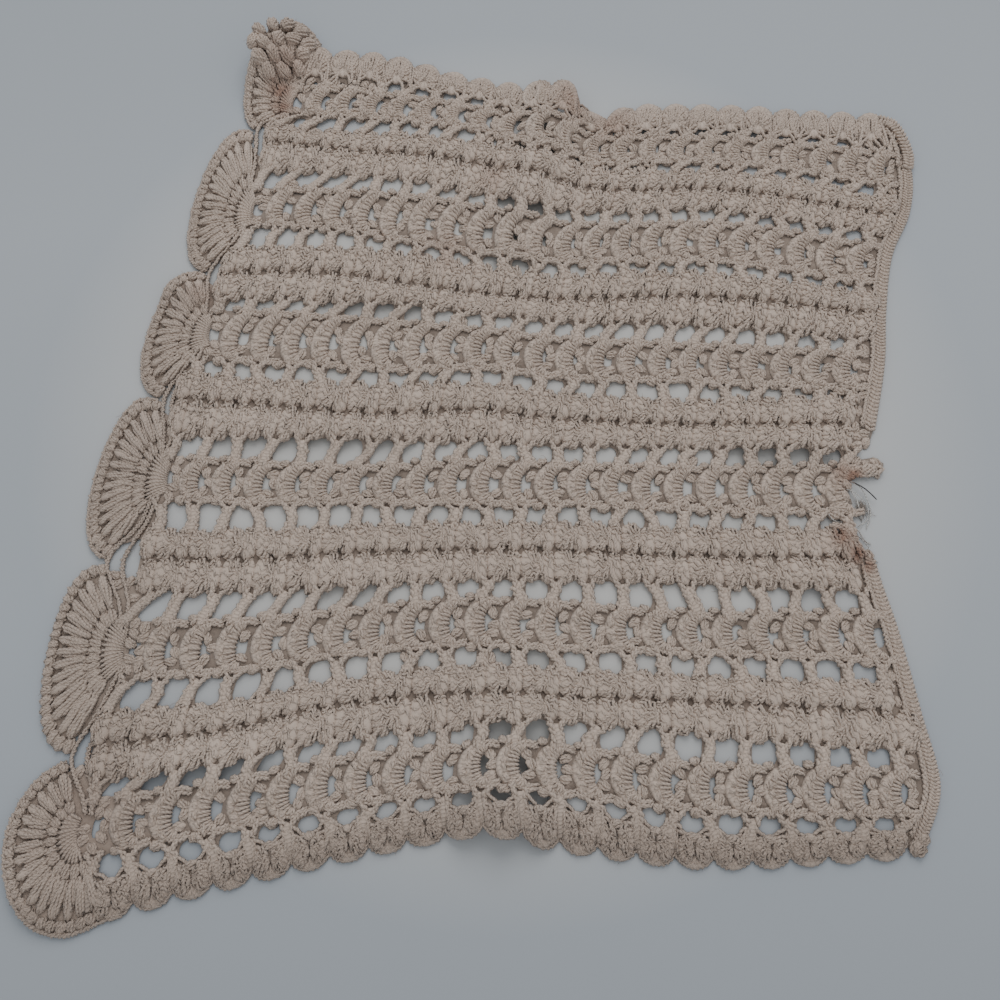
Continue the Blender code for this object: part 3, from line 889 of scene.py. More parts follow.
# The rings of clusters of a scallop, from its root to its rim. Columns: share of the way out, spacing
# along the ring in mm, half length as a share of the way out, fullness against the spacing, looks.
SCALLOP_RINGS = (
    (0.38, 2.7, 0.11, 1.12,
     {"ribs": 3, "radius": 0.60, "dome": 1.3, "steps": 8}),
    (0.64, 3.3, 0.225, 1.20,
     {"ribs": 4, "radius": 0.68, "dome": 2.1, "base": 0.6, "steps": 12, "swirl": 1.2}),
    (0.895, 3.0, 0.075, 1.35,
     {"ribs": 4, "radius": 0.60, "dome": 1.5, "steps": 7, "swirl": 1.4}),
)


def scallop_spoke(number, share, out):
    """Plan points at a share of the way from a scallop's root to its outline."""
    root = scallop_root(number)
    return root + out * (scallop_outline(SCALLOPS[number], share) - root)


def root_strands(work, number):
    """The strands that wrap a scallop's root loop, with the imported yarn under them."""
    root = scallop_root(number)
    share = np.linspace(0.03, 0.97, SCALLOP_STRANDS)
    g = 1 - 2 * share
    start = np.stack([root[0] - 0.2 + 0.9 * g * g, root[1] + 4.6 * g], axis=-1)
    end = scallop_spoke(number, share, 0.30)
    steps = np.linspace(0, 1, 7)[None, :, None]
    strands = start[:, None, :] + steps * (end - start)[:, None, :]
    lift = 0.7 + 0.9 * np.sin(pi * np.linspace(0.05, 0.8, 7))
    work.add(on_plan(strands[..., 0], strands[..., 1], lift[None, :]), 0.62)
    core = on_plan(strands[:, 3, 0], strands[:, 3, 1], 0.9)[None]
    work.add(core, 2.6, flat=0.30, sides=8)


def scallop_rings(work, number):
    """The rings of clusters of one scallop, each cluster long towards the rim."""
    row = SCALLOPS[number]
    fine = np.linspace(0.0, 1.0, 80)
    steps = np.linalg.norm(np.diff(scallop_outline(row, fine), axis=0), axis=1)
    run = np.concatenate([[0.0], np.cumsum(steps)])
    for out, spacing, long, fill, looks in SCALLOP_RINGS:
        count = int(run[-1] * out / spacing)
        even = (np.arange(count) + 0.5) / count + uneven(count, 0.10 / count)
        share = np.interp(even * run[-1], run, fine)
        middle = scallop_spoke(number, share, out)
        way = scallop_outline(row, share) - scallop_root(number)
        distance = np.linalg.norm(way, axis=1)
        wide = spacing / 2 * fill * (1 + uneven(count, 0.10))
        plan_bobbles(work, middle, way / distance[:, None], long * distance, wide, **looks)


def curled_lumps(work, number):
    """The fat lumps of a scallop that curls up on itself."""
    middle = np.array(CURLED_LUMPS, float)
    way = middle - scallop_root(number)
    turn = np.arctan2(way[:, 1], way[:, 0]) + uneven(len(way), 1.0)
    way = np.stack([np.cos(turn), np.sin(turn)], axis=-1)
    plan_bobbles(work, middle, way, 3.6, 2.6, dome=2.4, ribs=5, radius=0.70, base=2.4, steps=10, swirl=1.4)


def big_scallop(number):
    """A big scallop: root strands, rings of clusters and, on all but the fifth, a chain rim."""
    work = Worked()
    root_strands(work, number)
    scallop_rings(work, number)
    rim = scallop_spoke(number, np.linspace(0.0, 1.0, SCALLOP_RIM_POINTS), SCALLOP_RIM)
    rope = on_plan(rim[:, 0], rim[:, 1], 1.0)[None]
    rope += HAND.uniform(-0.25, 0.25, rope.shape)
    # Every rim is worked, so that the draws keep their order, and one is left off.
    rim_work = Worked() if number == RIMLESS_SCALLOP else work
    rim_work.add(twisted(rope, 0.45, 2.6), 0.60)
    if number == 0:
        curled_lumps(work, number)
    return work


def neck_chains():
    """The long chains that run down between the big scallops and past the ends of the bands."""
    work = Worked()
    for number in range(len(SCALLOPS) - 1):
        upper = lace_point(0.0, 2 * number + 1.0)
        lower = lace_point(0.0, 2 * number + 3.0)
        neck = np.array(SCALLOPS[number][2:4], float)
        for step, inward in enumerate((1.8, 6.0)):
            ends = np.array([
                upper + (-2.5 + 0.8 * step, -5.0),
                upper * 0.45 + neck * 0.55 + (inward * 0.7, 0.0),
                neck + (inward, 0.0),
                lower * 0.45 + neck * 0.55 + (inward * 0.7, 0.0),
                lower + (-2.5 + 0.8 * step, 5.0),
            ])
            plan = smooth(ends + HAND.uniform(-0.9, 0.9, ends.shape), 40)[None]
            chain = on_plan(plan[..., 0], plan[..., 1], 1.25)
            chain += HAND.uniform(-0.2, 0.2, chain.shape)
            work.add(twisted(chain, 0.5, 2.8), 0.62)
    return work


RIB_PITCH = 1.35                # distance along the border from one rib to the next
RIB_POINTS = 6                  # points along a rib


def beside(line):
    """Unit vectors along a plan line, and the unit vectors to its inner side."""
    ahead = np.gradient(line, axis=0)
    ahead /= np.linalg.norm(ahead, axis=1, keepdims=True)
    return ahead, np.stack([ahead[:, 1], -ahead[:, 0]], axis=-1)


def border_ribs(work, start, end):
    """Ribs of one stretch of the right border: two slanting rows of stitches and an inner rope."""
    fine = border_point(np.linspace(start, end, 400))
    length = np.linalg.norm(np.diff(fine, axis=0), axis=1).sum()
    count = int(length / RIB_PITCH)
    place = np.linspace(start, end, count)
    edge = border_point(place)
    ahead, inward = beside(edge)

    def across(inner, outer, slope, lift):
        """One rib at each place, from inner to outer in from the edge, and how far it slants."""
        steps = np.linspace(0, 1, RIB_POINTS)[None, :, None]
        path = (edge[:, None] + inward[:, None] * (inner + (outer - inner) * steps)
                + ahead[:, None] * slope * (steps - 0.5))
        return on_plan(path[..., 0], path[..., 1], lift)

    work.add(across(BORDER_WIDTH - 2.0, 2.1, 1.3, 1.45), 0.76)
    work.add(across(2.5, 0.55, -1.1, 1.35), 0.76)
    core = edge + inward * (BORDER_WIDTH / 2 - 0.3)
    work.add(on_plan(core[:, 0], core[:, 1], 0.75)[None], 2.5, flat=0.34, sides=8)
    rope = edge + inward * (BORDER_WIDTH - 1.0) + HAND.uniform(-0.2, 0.2, edge.shape)
    work.add(twisted(on_plan(rope[:, 0], rope[:, 1], 1.3)[None], 0.55, 3.4), 0.66)


def ribbed_border():
    """The narrow ribbed border down the right side, in two stretches with the tear between them."""
    work = Worked()
    border_ribs(work, 1.0, TEAR_FROM)
    border_ribs(work, TEAR_TO + 0.05, NEAR_EDGE - 0.1)
    for place, shift, half in ((NEAR_EDGE - 0.06, -2.4, 3.0), (NEAR_EDGE - 0.20, -1.9, 2.4)):
        spot = border_point(np.array([place])) + (shift, 0.0)
        plan_bobbles(work, spot, np.array([[0.5, 0.87]]), half, half, dome=1.7, ribs=7, radius=0.48)
    return work


# Plan points along the outer side of the braid at the far right corner.
BRAID_OUTER = (
    (148.6, 124.6), (153.2, 122.8), (156.4, 118.0), (158.2, 111.6), (158.8, 105.6), (158.0, 100.4),
)
BRAID_WIDTH = 4.3
BRAID_RIBS = 20
BRAID_LIFTS = (1.5, 2.3, 2.4, 1.0)  # along a rib, from its inner end to its outer end
# The two crossing rows of ribs: which way each slants, and its points' shares of the braid's width.
BRAID_ROWS = ((1, (0.05, 0.25, 0.45, 0.62)), (-1, (0.50, 0.66, 0.84, 1.0)))


def corner_braid():
    """The thick folded braid at the sheet's upper right corner, with the chain on its inner side."""
    work = Worked()
    outer = smooth(np.array(BRAID_OUTER), BRAID_RIBS)
    _, inward = beside(outer)
    inner = outer + BRAID_WIDTH * inward
    lifts = np.broadcast_to(np.array(BRAID_LIFTS)[None, :, None], (BRAID_RIBS, len(BRAID_LIFTS), 1))
    for slope, shares in BRAID_ROWS:
        shift = np.gradient(inner, axis=0) * 0.45 * slope
        paths = np.stack([inner + share * (outer - inner) + shift * (i - 1.5) / 1.5
                          for i, share in enumerate(shares)], axis=1)
        paths = smooth(np.concatenate([paths, lifts], axis=2), 7)
        work.add(on_plan(paths[..., 0], paths[..., 1], paths[..., 2]), 0.80)
    middle = smooth((inner + outer) / 2, 20)[None]
    work.add(on_plan(middle[..., 0], middle[..., 1], 1.4), 1.9, flat=0.5, sides=8)
    chain = smooth((outer + (BRAID_WIDTH + 1.8) * inward)[3:], 30)[None]
    work.add(twisted(on_plan(chain[..., 0], chain[..., 1], 2.0), 0.5, 3.0), 0.66)
    return work


# The clusters left at the tear. Columns: plan point, direction, half length, half width.
TORN_CLUSTERS = (
    ((126.0, -23.8), (1.0, 0.12), 4.6, 1.5),
    ((115.1, -37.3), (0.97, 0.25), 3.9, 2.5),
    ((119.6, -25.6), (0.98, 0.2), 2.8, 1.5),
    ((118.6, -28.6), (0.6, -0.8), 2.6, 1.5),
    ((117.6, -33.0), (0.3, -0.95), 2.6, 1.5),
)
# Plan points along the frayed lower side of the tear.
FRAYED_EDGE = ((112.0, -43.2), (115.6, -43.8), (118.2, -46.2), (120.4, -49.8), (122.4, -54.4))
TAB_MIDDLE = (126.2, -23.7)     # of the looped tab
TAB_SIZE = (5.2, 1.55)          # its half length and half width


def torn_ends():
    """What is left at the tear: the looped tab, the stub of the broken row and its frayed ends."""
    work = Worked()
    turn = np.linspace(0, 2 * pi, 25)[:-1]
    for size, lift in ((1.0, 1.9), (0.42, 2.6)):
        across, along = TAB_SIZE[0] * size * np.cos(turn), TAB_SIZE[1] * size * np.sin(turn)
        loop = on_plan(TAB_MIDDLE[0] + across, TAB_MIDDLE[1] + along + 0.12 * across, lift)[None]
        work.add(twisted(loop, 0.50, 2.7, closed=True), 0.66, closed=True)
    place, way, long, wide = (np.array(column) for column in zip(*TORN_CLUSTERS))
    plan_bobbles(work, place, way, long, wide, dome=1.4, ribs=5, radius=0.62, base=0.9, swirl=1.4)
    edge = smooth(np.array(FRAYED_EDGE), 26)
    for inward, lift in ((0.0, 1.9), (1.4, 2.3)):
        path = edge[None] - (inward, 0.5 * inward) + HAND.uniform(-0.25, 0.25, edge.shape)
        work.add(twisted(on_plan(path[..., 0], path[..., 1], lift), 0.45, 2.6), 0.58)
    return work


# Plan points along each thread end that hangs from the tear, after its thickness.
THREAD_ENDS = (
    (0.34, ((117.6, -27.0), (119.6, -30.2), (121.3, -33.6), (122.2, -37.6), (122.9, -41.8))),
    (0.24, ((119.5, -27.4), (123.2, -29.8), (125.1, -34.0), (125.9, -39.2), (124.0, -44.6))),
    (0.20, ((118.0, -30.5), (121.4, -32.0), (124.8, -36.4), (124.6, -41.0), (121.0, -43.8))),
    (0.26, ((116.8, -43.8), (119.4, -44.2), (121.4, -46.2), (122.6, -48.6), (124.9, -50.0))),
    (0.20, ((118.9, -46.6), (121.2, -48.0), (123.8, -51.6), (124.6, -54.6), (126.6, -56.4))),
    (0.22, ((111.0, -39.4), (112.6, -41.6), (115.4, -42.2), (117.4, -40.6), (119.8, -41.2))),
)
THREAD_POINTS = 26              # points along each thread end
# Points along the dark thread end, each with its lift.
DARK_END = ((121.0, -28.0, 1.8), (124.0, -30.2, 2.4), (126.6, -32.6, 2.2), (128.3, -34.4, 1.8))


def torn_threads():
    """The loose thread ends of the tear."""
    work = Worked()
    for radius, points in THREAD_ENDS:
        path = smooth(np.array(points), THREAD_POINTS) + HAND.uniform(-0.12, 0.12, (THREAD_POINTS, 2))
        lift = np.interp(np.linspace(0, 1, THREAD_POINTS), (0, 0.3, 1), (1.9, 1.6, 0.5))
        thread = on_plan(path[:, 0], path[:, 1], lift)[None]
        work.add(twisted(thread, radius * 0.5, 1.6), radius * 0.62)
    return work


def dark_thread():
    """The one dark thread end caught in the tear."""
    work = Worked()
    path = smooth(np.array(DARK_END), 9)
    work.add(on_plan(path[:, 0], path[:, 1], path[:, 2])[None], 0.22, sides=6)
    return work


FIBRES = 2700                   # fibres all over the lace
TUFT_FIBRES = 60                # fibres in the tuft at the tear
TUFT_MIDDLE = (122.6, -35.5)
FIBRE_RADIUS = 0.05


def surface_points(piece):
    """The points of a finished piece, in mm."""
    points = np.empty(3 * len(piece.data.vertices), np.float32)
    piece.data.vertices.foreach_get("co", points)
    return points.reshape(-1, 3) / MM


def loose_fibres():
    """Fine fibres that stand out of the yarn all over, and the thin tuft at the tear."""
    roots = np.concatenate([surface_points(piece) for piece in PIECES[1:]])
    x, y = roots[:, 0] + CENTRE[0], roots[:, 1] + CENTRE[1]
    roots = roots[roots[:, 2] - ridge_height(x, y) > 1.2]
    roots = roots[HAND.choice(len(roots), FIBRES, replace=False)]
    tuft = on_plan(*(np.array(TUFT_MIDDLE) + HAND.uniform(-1.6, 1.6, (TUFT_FIBRES, 2))).T, 0.9)
    work = Worked()
    for start, reach, drop in ((roots, 1.0, 0.0), (tuft, 2.6, -0.8)):
        count = len(start)
        turn = HAND.uniform(0, 2 * pi, count)
        if drop:
            turn = HAND.uniform(-2.0, -0.9, count)
        long = HAND.uniform(0.8, 2.4, count) * reach
        rise = HAND.uniform(0.1, 0.7, count)
        curl = HAND.uniform(-1.1, 1.1, count)
        steps = []
        for share in (0.0, 0.4, 0.75, 1.0):
            way = turn + curl * share
            steps.append(start + np.stack([
                long * share * np.cos(way),
                long * share * np.sin(way),
                rise * np.sin(pi * share * 0.8) + drop * share,
            ], axis=-1))
        work.add(np.stack(steps, axis=1), FIBRE_RADIUS, taper=0.7)
    return work


# ---- the ground behind the stitches ----
ROUNDING = 0.62                 # power of an opening's rounded-square outline
LOOP_SIZE = (3.9, 6.8)          # width and height of a root loop that stands wide open
# Share of that size which the loops past the eighth column keep, at these lines.
LOOP_LINES = (1, 5, 7)
LOOP_SHARES = (0.55, 0.75, 1.0)
POINT_MERGE = 0.001             # points of the plan nearer than this are one point, mm


def opening_points(centre, along, lean, width, height, count):
    """Points round one opening, a rounded square that leans with the stitches beside it."""
    angle = 2 * pi * (np.arange(count) + 0.5) / count
    across = np.abs(np.cos(angle)) ** ROUNDING * np.sign(np.cos(angle)) * width / 2
    rise = np.abs(np.sin(angle)) ** ROUNDING * np.sign(np.sin(angle)) * height / 2
    return centre + across[:, None] * along + rise[:, None] * np.array((lean, 1.0))


def ground_openings():
    """Every gap in the ground: the windows, and the loops at the roots of the fans."""
    found = []

    def gap(column, place, lean, width, height, count):
        """One gap, which lies along its row."""
        centre = lace_point(column, place)
        ahead = lace_point(column + 0.2, place) - centre
        found.append(opening_points(centre, ahead / np.hypot(*ahead), lean, width, height, count))

    for strip in range(NEAR_EDGE):
        for column in range(COLUMNS):
            place, lean, width, height = (float(v) for v in window_values(strip, float(column)))
            gap(column + 0.5, place, lean, width + 1.2, height + 1.4, 12)
    for line in range(1, NEAR_EDGE, 2):
        column = np.arange(0.0, COLUMNS + 1)
        above, _ = half_reach(line, line - 1, column)
        below, _ = half_reach(line, line, column)
        _, gap_length = local_scale(column, np.full(len(column), float(line)))
        middle = line - (above - below) / 2 / gap_length
        for number in range(COLUMNS + 1):
            share = np.interp(line, LOOP_LINES, LOOP_SHARES) if number > 8 else 1.0
            gap(number + 0.13, middle[number], 0.1, LOOP_SIZE[0] * share, LOOP_SIZE[1] * share, 10)
    return found


def inside_any(spots, shapes):
    """Which spots lie inside any of the closed shapes."""
    found = np.zeros(len(spots), bool)
    for shape in shapes:
        low, high = shape.min(axis=0), shape.max(axis=0)
        near = np.nonzero(((spots > low) & (spots < high)).all(axis=1))[0]
        if not len(near):
            continue
        x, y = spots[near, 0][:, None], spots[near, 1][:, None]
        x0, y0 = shape[:, 0], shape[:, 1]
        x1, y1 = np.roll(x0, -1), np.roll(y0, -1)
        crosses = (y0 > y) != (y1 > y)
        with np.errstate(divide="ignore", invalid="ignore"):
            at = x0 + (y - y0) * (x1 - x0) / (y1 - y0)
        found[near] |= (crosses & (x < at)).sum(axis=1) % 2 == 1
    return found


def ground_outline():
    """The ground's closed outline, a little inside the stitches that rim the lace."""
    column = np.linspace(0, COLUMNS, COLUMNS * 6 + 1)
    swell = np.abs(np.sin(pi * column))
    far = lace_point(column, 0.04) + np.stack([0 * swell, 1.4 * swell], axis=-1)
    near = lace_point(column, NEAR_EDGE - 0.04) - np.stack([0 * swell, 1.4 * swell], axis=-1)
    upper = border_point(np.linspace(0.3, TEAR_FROM, 20)) - (1.0, 0)
    lower = border_point(np.linspace(TEAR_TO, NEAR_EDGE - 0.2, 14)) - (1.0, 0)
    left = []
    for number in reversed(range(len(SCALLOPS))):
        left.append(scallop_spoke(number, np.linspace(0.93, 0.07, 18), 0.955))
        if number:
            left.append(lace_point(-0.35, np.array([2.0 * number + 0.25, 2.0 * number - 0.25])))
    return np.concatenate([far, upper, np.array(TEAR), lower, near[::-1], *left])


def ground_plan():
    """The ground's plan: its points, and the triangles between its outline and its gaps."""
    outline = ground_outline()
    holes = ground_openings()
    points = [Vector(p) for p in outline]
    edges = [(i, (i + 1) % len(outline)) for i in range(len(outline))]
    for hole in holes:
        start, count = len(points), len(hole)
        points += [Vector(p) for p in hole]
        edges += [(start + i, start + (i + 1) % count) for i in range(count)]
    column, place = np.meshgrid(np.arange(0.25, COLUMNS, 0.5), np.arange(0.2, NEAR_EDGE, 0.2))
    points += [Vector(p) for p in lace_point(column.ravel(), place.ravel())]
    for number in range(len(SCALLOPS)):
        for out in np.linspace(0.15, 0.90, 9):
            points += [Vector(p) for p in scallop_spoke(number, np.linspace(0.06, 0.94, 14), out)]
    corners, _, faces, _, _, _ = delaunay_2d_cdt(points, edges, [], 0, POINT_MERGE)
    spots = np.array(corners)
    triangles = np.array(faces)
    middles = spots[triangles].mean(axis=1)
    return spots, triangles[inside_any(middles, [outline]) & ~inside_any(middles, holes)]


def plan_area(spots, triangles):
    """Area of a plan's triangles, in square metres."""
    corner = spots[triangles]
    a, b = corner[:, 1] - corner[:, 0], corner[:, 2] - corner[:, 0]
    return float(np.abs(a[:, 0] * b[:, 1] - a[:, 1] * b[:, 0]).sum() / 2 * MM ** 2)


def lace_ground(material):
    """The thin ground inside the stitches, with the sheet's own outline and gaps, and its area."""
    spots, triangles = ground_plan()
    sides = np.concatenate([triangles[:, [0, 1]], triangles[:, [1, 2]], triangles[:, [2, 0]]])
    both = set(map(tuple, sides))
    rim = np.array([side for side in map(tuple, sides) if side[::-1] not in both])
    count = len(spots)
    upper = on_plan(spots[:, 0], spots[:, 1], GROUND_LIFT + GROUND_THICKNESS / 2)
    lower = on_plan(spots[:, 0], spots[:, 1], GROUND_LIFT - GROUND_THICKNESS / 2)
    walls = np.stack([rim[:, 1], rim[:, 0], rim[:, 0] + count, rim[:, 1] + count], axis=-1)
    below = triangles[:, ::-1] + count
    used = np.unique(np.concatenate([triangles.ravel(), below.ravel()]))
    number = np.zeros(2 * count, int)
    number[used] = np.arange(len(used))
    points = np.concatenate([upper, lower])[used]
    corners = number[np.concatenate([triangles.ravel(), below.ravel(), walls.ravel()])]
    sizes = np.concatenate([np.full(2 * len(triangles), 3), np.full(len(walls), 4)])
    mesh = mesh_from("lace_ground", points, corners, sizes)
    mark_stains_and_shade(mesh, points)
    return dress("lace_ground", mesh, material), plan_area(spots, triangles)


CELL = 0.8                      # grid on which bare ground is looked for, mm
KNOT = 1.75                     # half width of a filling knot, mm
KNOT_SPACING = 1.15             # distance between filling knots, in half widths


def bare_cells(low, size):
    """Which cells of a grid over the lace no stitch covers, nor any cell beside them."""
    covered = np.zeros(size, bool)
    for piece in PIECES[1:]:
        spots = surface_points(piece)[:, :2] + CENTRE
        cell = np.clip(((spots - low) / CELL).astype(int), 0, size - 1)
        covered[cell[:, 0], cell[:, 1]] = True
    spread = covered.copy()
    for step in ((1, 0), (-1, 0), (0, 1), (0, -1)):
        spread |= np.roll(covered, step, axis=(0, 1))
    return ~spread


def filling(outline, holes):
    """Small knots of plain stitches wherever no other stitch would cover the ground."""
    low = outline.min(axis=0) - 2
    size = np.ceil((outline.max(axis=0) + 2 - low) / CELL).astype(int)
    bare = bare_cells(low, size)
    cells = np.argwhere(bare)
    spots = low + (cells + 0.5) * CELL
    kept = inside_any(spots, [outline]) & ~inside_any(spots, holes)
    reach = int(round(KNOT_SPACING * KNOT / CELL))
    chosen = []
    for (i, j), spot in zip(cells[kept], spots[kept]):
        if bare[i, j]:
            chosen.append(spot)
            bare[max(i - reach, 0):i + reach + 1, max(j - reach, 0):j + reach + 1] = False
    work = Worked()
    middle = np.array(chosen) + HAND.uniform(-0.3, 0.3, (len(chosen), 2))
    turn = HAND.uniform(0, pi, len(chosen))
    way = np.stack([np.cos(turn), np.sin(turn)], axis=-1)
    plan_bobbles(work, middle, way, KNOT * 1.45, KNOT, dome=0.6, ribs=3, radius=0.62, base=0.6, steps=7,
                 swirl=1.6)
    return work


# ---- finishes ----
COTTON = (0.585, 0.474, 0.395, 1.0)             # on top of the yarn, where it is clean
# Painted shade: the yarn's colour in its ply grooves and low between the stitches, where shade falls.
COTTON_IN_PAINTED_SHADE = (0.375, 0.297, 0.245, 1.0)        # in its grooves and low between the stitches
BLEACHED_COTTON = (0.88, 0.86, 0.82, 1.0)       # the thread ends at the tear
# Painted shade: the ground behind the stitches is coloured as dark as it looks in the shade between them.
GROUND_IN_PAINTED_SHADE = (0.185, 0.142, 0.115, 1.0)      # the shaded ground behind the stitches
STAIN_COLOUR = (0.37, 0.225, 0.165, 1.0)
# Painted shade: a stain's colour where the yarn is coloured as shaded.
STAIN_IN_PAINTED_SHADE = (0.12, 0.06, 0.045, 1.0)
DARK_THREAD = ((0.008, 0.007, 0.008, 1), (0.030, 0.026, 0.028, 1))
BOARD_PAINT = ((0.350, 0.372, 0.400, 1), (0.380, 0.402, 0.430, 1))
# Painted shade: the board is coloured darker beyond the lace, towards the far and the near side, where the
# light falls off.
PAINTED_FALLOFF_SHADE = (0.325, 0.346, 0.373, 1)           # beyond the lace, towards the far and the near side
PAINTED_LIGHT_UNDER_LACE = (0.550, 0.531, 0.503, 1)           # painted light under the lace: paler and warmer, so it looks bright through the windows


def node_group(name, inputs, outputs):
    """An empty node group with named sockets."""
    group = bpy.data.node_groups.new(name, "ShaderNodeTree")
    for label, kind, value in inputs:
        socket = group.interface.new_socket(name=label, in_out="INPUT", socket_type=kind)
        socket.default_value = value
    for label, kind in outputs:
        group.interface.new_socket(name=label, in_out="OUTPUT", socket_type=kind)
    return group, group.nodes.new("NodeGroupInput"), group.nodes.new("NodeGroupOutput")


def add_node(tree, kind, **settings):
    """One node, with its properties or the default values of its inputs set."""
    node = tree.nodes.new(kind)
    for name, value in settings.items():
        if hasattr(node, name):
            setattr(node, name, value)
        else:
            node.inputs[name.replace("_", " ")].default_value = value
    return node


def maths(tree, operation, *values):
    """A maths node whose inputs are numbers or other nodes' outputs."""
    node = add_node(tree, "ShaderNodeMath", operation=operation)
    for socket, value in zip(node.inputs, values):
        if isinstance(value, (int, float)):
            socket.default_value = value
        else:
            tree.links.new(value, socket)
    return node.outputs[0]


def mixed(tree, share, a, b):
    """A colour between a and b."""
    node = add_node(tree, "ShaderNodeMix", data_type="RGBA")
    for socket, value in ((node.inputs[0], share), (node.inputs[6], a), (node.inputs[7], b)):
        if isinstance(value, (int, float, tuple)):
            socket.default_value = value
        else:
            tree.links.new(value, socket)
    return node.outputs[2]


def ply_twist():
    """Group: the relief of twisted plies along a strand, and how one strand differs from the next."""
    group, _, end = node_group(
        "ply_twist", [], [("Relief", "NodeSocketFloat"), ("Tone", "NodeSocketFloat")])
    yarn = add_node(group, "ShaderNodeUVMap", uv_map="yarn")
    parts = add_node(group, "ShaderNodeSeparateXYZ")
    group.links.new(yarn.outputs[0], parts.inputs[0])
    wave = maths(group, "ABSOLUTE", maths(group, "SINE", maths(group, "MULTIPLY", parts.outputs[0], pi)))
    relief = maths(group, "POWER", wave, 0.6)
    group.links.new(relief, end.inputs["Relief"])
    group.links.new(parts.outputs[1], end.inputs["Tone"])
    return group


def cotton_fuzz():
    """Group: fine fibres and slubs in the surface of cotton yarn."""
    group, start, end = node_group(
        "cotton_fuzz",
        [("Fibre Scale", "NodeSocketFloat", 2600.0), ("Slub Scale", "NodeSocketFloat", 900.0)],
        [("Fibres", "NodeSocketFloat"), ("Slubs", "NodeSocketFloat")])
    place = add_node(group, "ShaderNodeTexCoord")
    for scale, output in (("Fibre Scale", "Fibres"), ("Slub Scale", "Slubs")):
        noise = add_node(group, "ShaderNodeTexNoise", Detail=3.0, Roughness=0.6)
        group.links.new(place.outputs["Object"], noise.inputs["Vector"])
        group.links.new(start.outputs[scale], noise.inputs["Scale"])
        group.links.new(noise.outputs[0], end.inputs[output])
    return group


def age_marks_and_painted_shade():
    """Group: the colour of old cotton, with its uneven fading and its stains, and painted shade in its
    depths, in its ply grooves and towards its edges.
    """
    group, start, end = node_group(
        "age_marks_and_painted_shade",
        [("Cotton", "NodeSocketColor", COTTON), ("Cotton In Painted Shade", "NodeSocketColor", COTTON_IN_PAINTED_SHADE),
         ("Stain", "NodeSocketColor", STAIN_COLOUR), ("Relief", "NodeSocketFloat", 1.0),
         ("Tone", "NodeSocketFloat", 0.5)],
        [("Color", "NodeSocketColor"), ("Stained", "NodeSocketFloat")])
    place = add_node(group, "ShaderNodeTexCoord")
    fade = add_node(group, "ShaderNodeTexNoise", Scale=26.0, Detail=4.0)
    blot = add_node(group, "ShaderNodeTexNoise", Scale=420.0, Detail=3.0)
    for noise in (fade, blot):
        group.links.new(place.outputs["Object"], noise.inputs["Vector"])
    stain = add_node(group, "ShaderNodeAttribute", attribute_name="stain")
    painted_edge_shade = add_node(group, "ShaderNodeAttribute", attribute_name="painted_edge_shade")
    standing = add_node(group, "ShaderNodeAttribute", attribute_name="standing")

    # Painted shade: yarn that lies low between the stitches, and the grooves between its plies, are
    # coloured darker.
    depth_shade = add_node(group, "ShaderNodeMapRange", From_Min=0.15, From_Max=0.75, To_Min=0.82, To_Max=1.0)
    group.links.new(standing.outputs["Fac"], depth_shade.inputs["Value"])
    groove_shade = maths(group, "MULTIPLY_ADD", start.outputs["Relief"], 0.34, 0.66)
    tone = maths(group, "MULTIPLY_ADD", start.outputs["Tone"], 0.16, 0.84)
    # Painted shade towards the edges darkens the cloth together with its uneven fading.
    faded_and_edge_shaded = maths(group, "MULTIPLY", maths(group, "MULTIPLY_ADD", fade.outputs[0], 0.36, 0.76),
                  maths(group, "MULTIPLY_ADD", painted_edge_shade.outputs["Fac"], -0.8, 1.0))
    shade_and_fading = maths(group, "MULTIPLY", maths(group, "MULTIPLY", depth_shade.outputs[0], groove_shade),
                  maths(group, "MULTIPLY", tone, faded_and_edge_shaded))
    clean = mixed(group, maths(group, "MINIMUM", shade_and_fading, 1.0),
                  start.outputs["Cotton In Painted Shade"], start.outputs["Cotton"])
    uneven_blot = maths(group, "MULTIPLY_ADD", blot.outputs[0], 1.3, 0.3)
    blotted = maths(group, "MULTIPLY", stain.outputs["Fac"], uneven_blot)
    share = maths(group, "MINIMUM", blotted, 1.0)
    # Stains darken with the same painted shade as the clean yarn.
    colour = mixed(group, share, clean, mixed(group, shade_and_fading, STAIN_IN_PAINTED_SHADE, start.outputs["Stain"]))
    group.links.new(colour, end.inputs["Color"])
    group.links.new(share, end.inputs["Stained"])
    return group


def placed(tree, group):
    """A group placed in a material."""
    node = tree.nodes.new("ShaderNodeGroup")
    node.node_tree = group
    return node


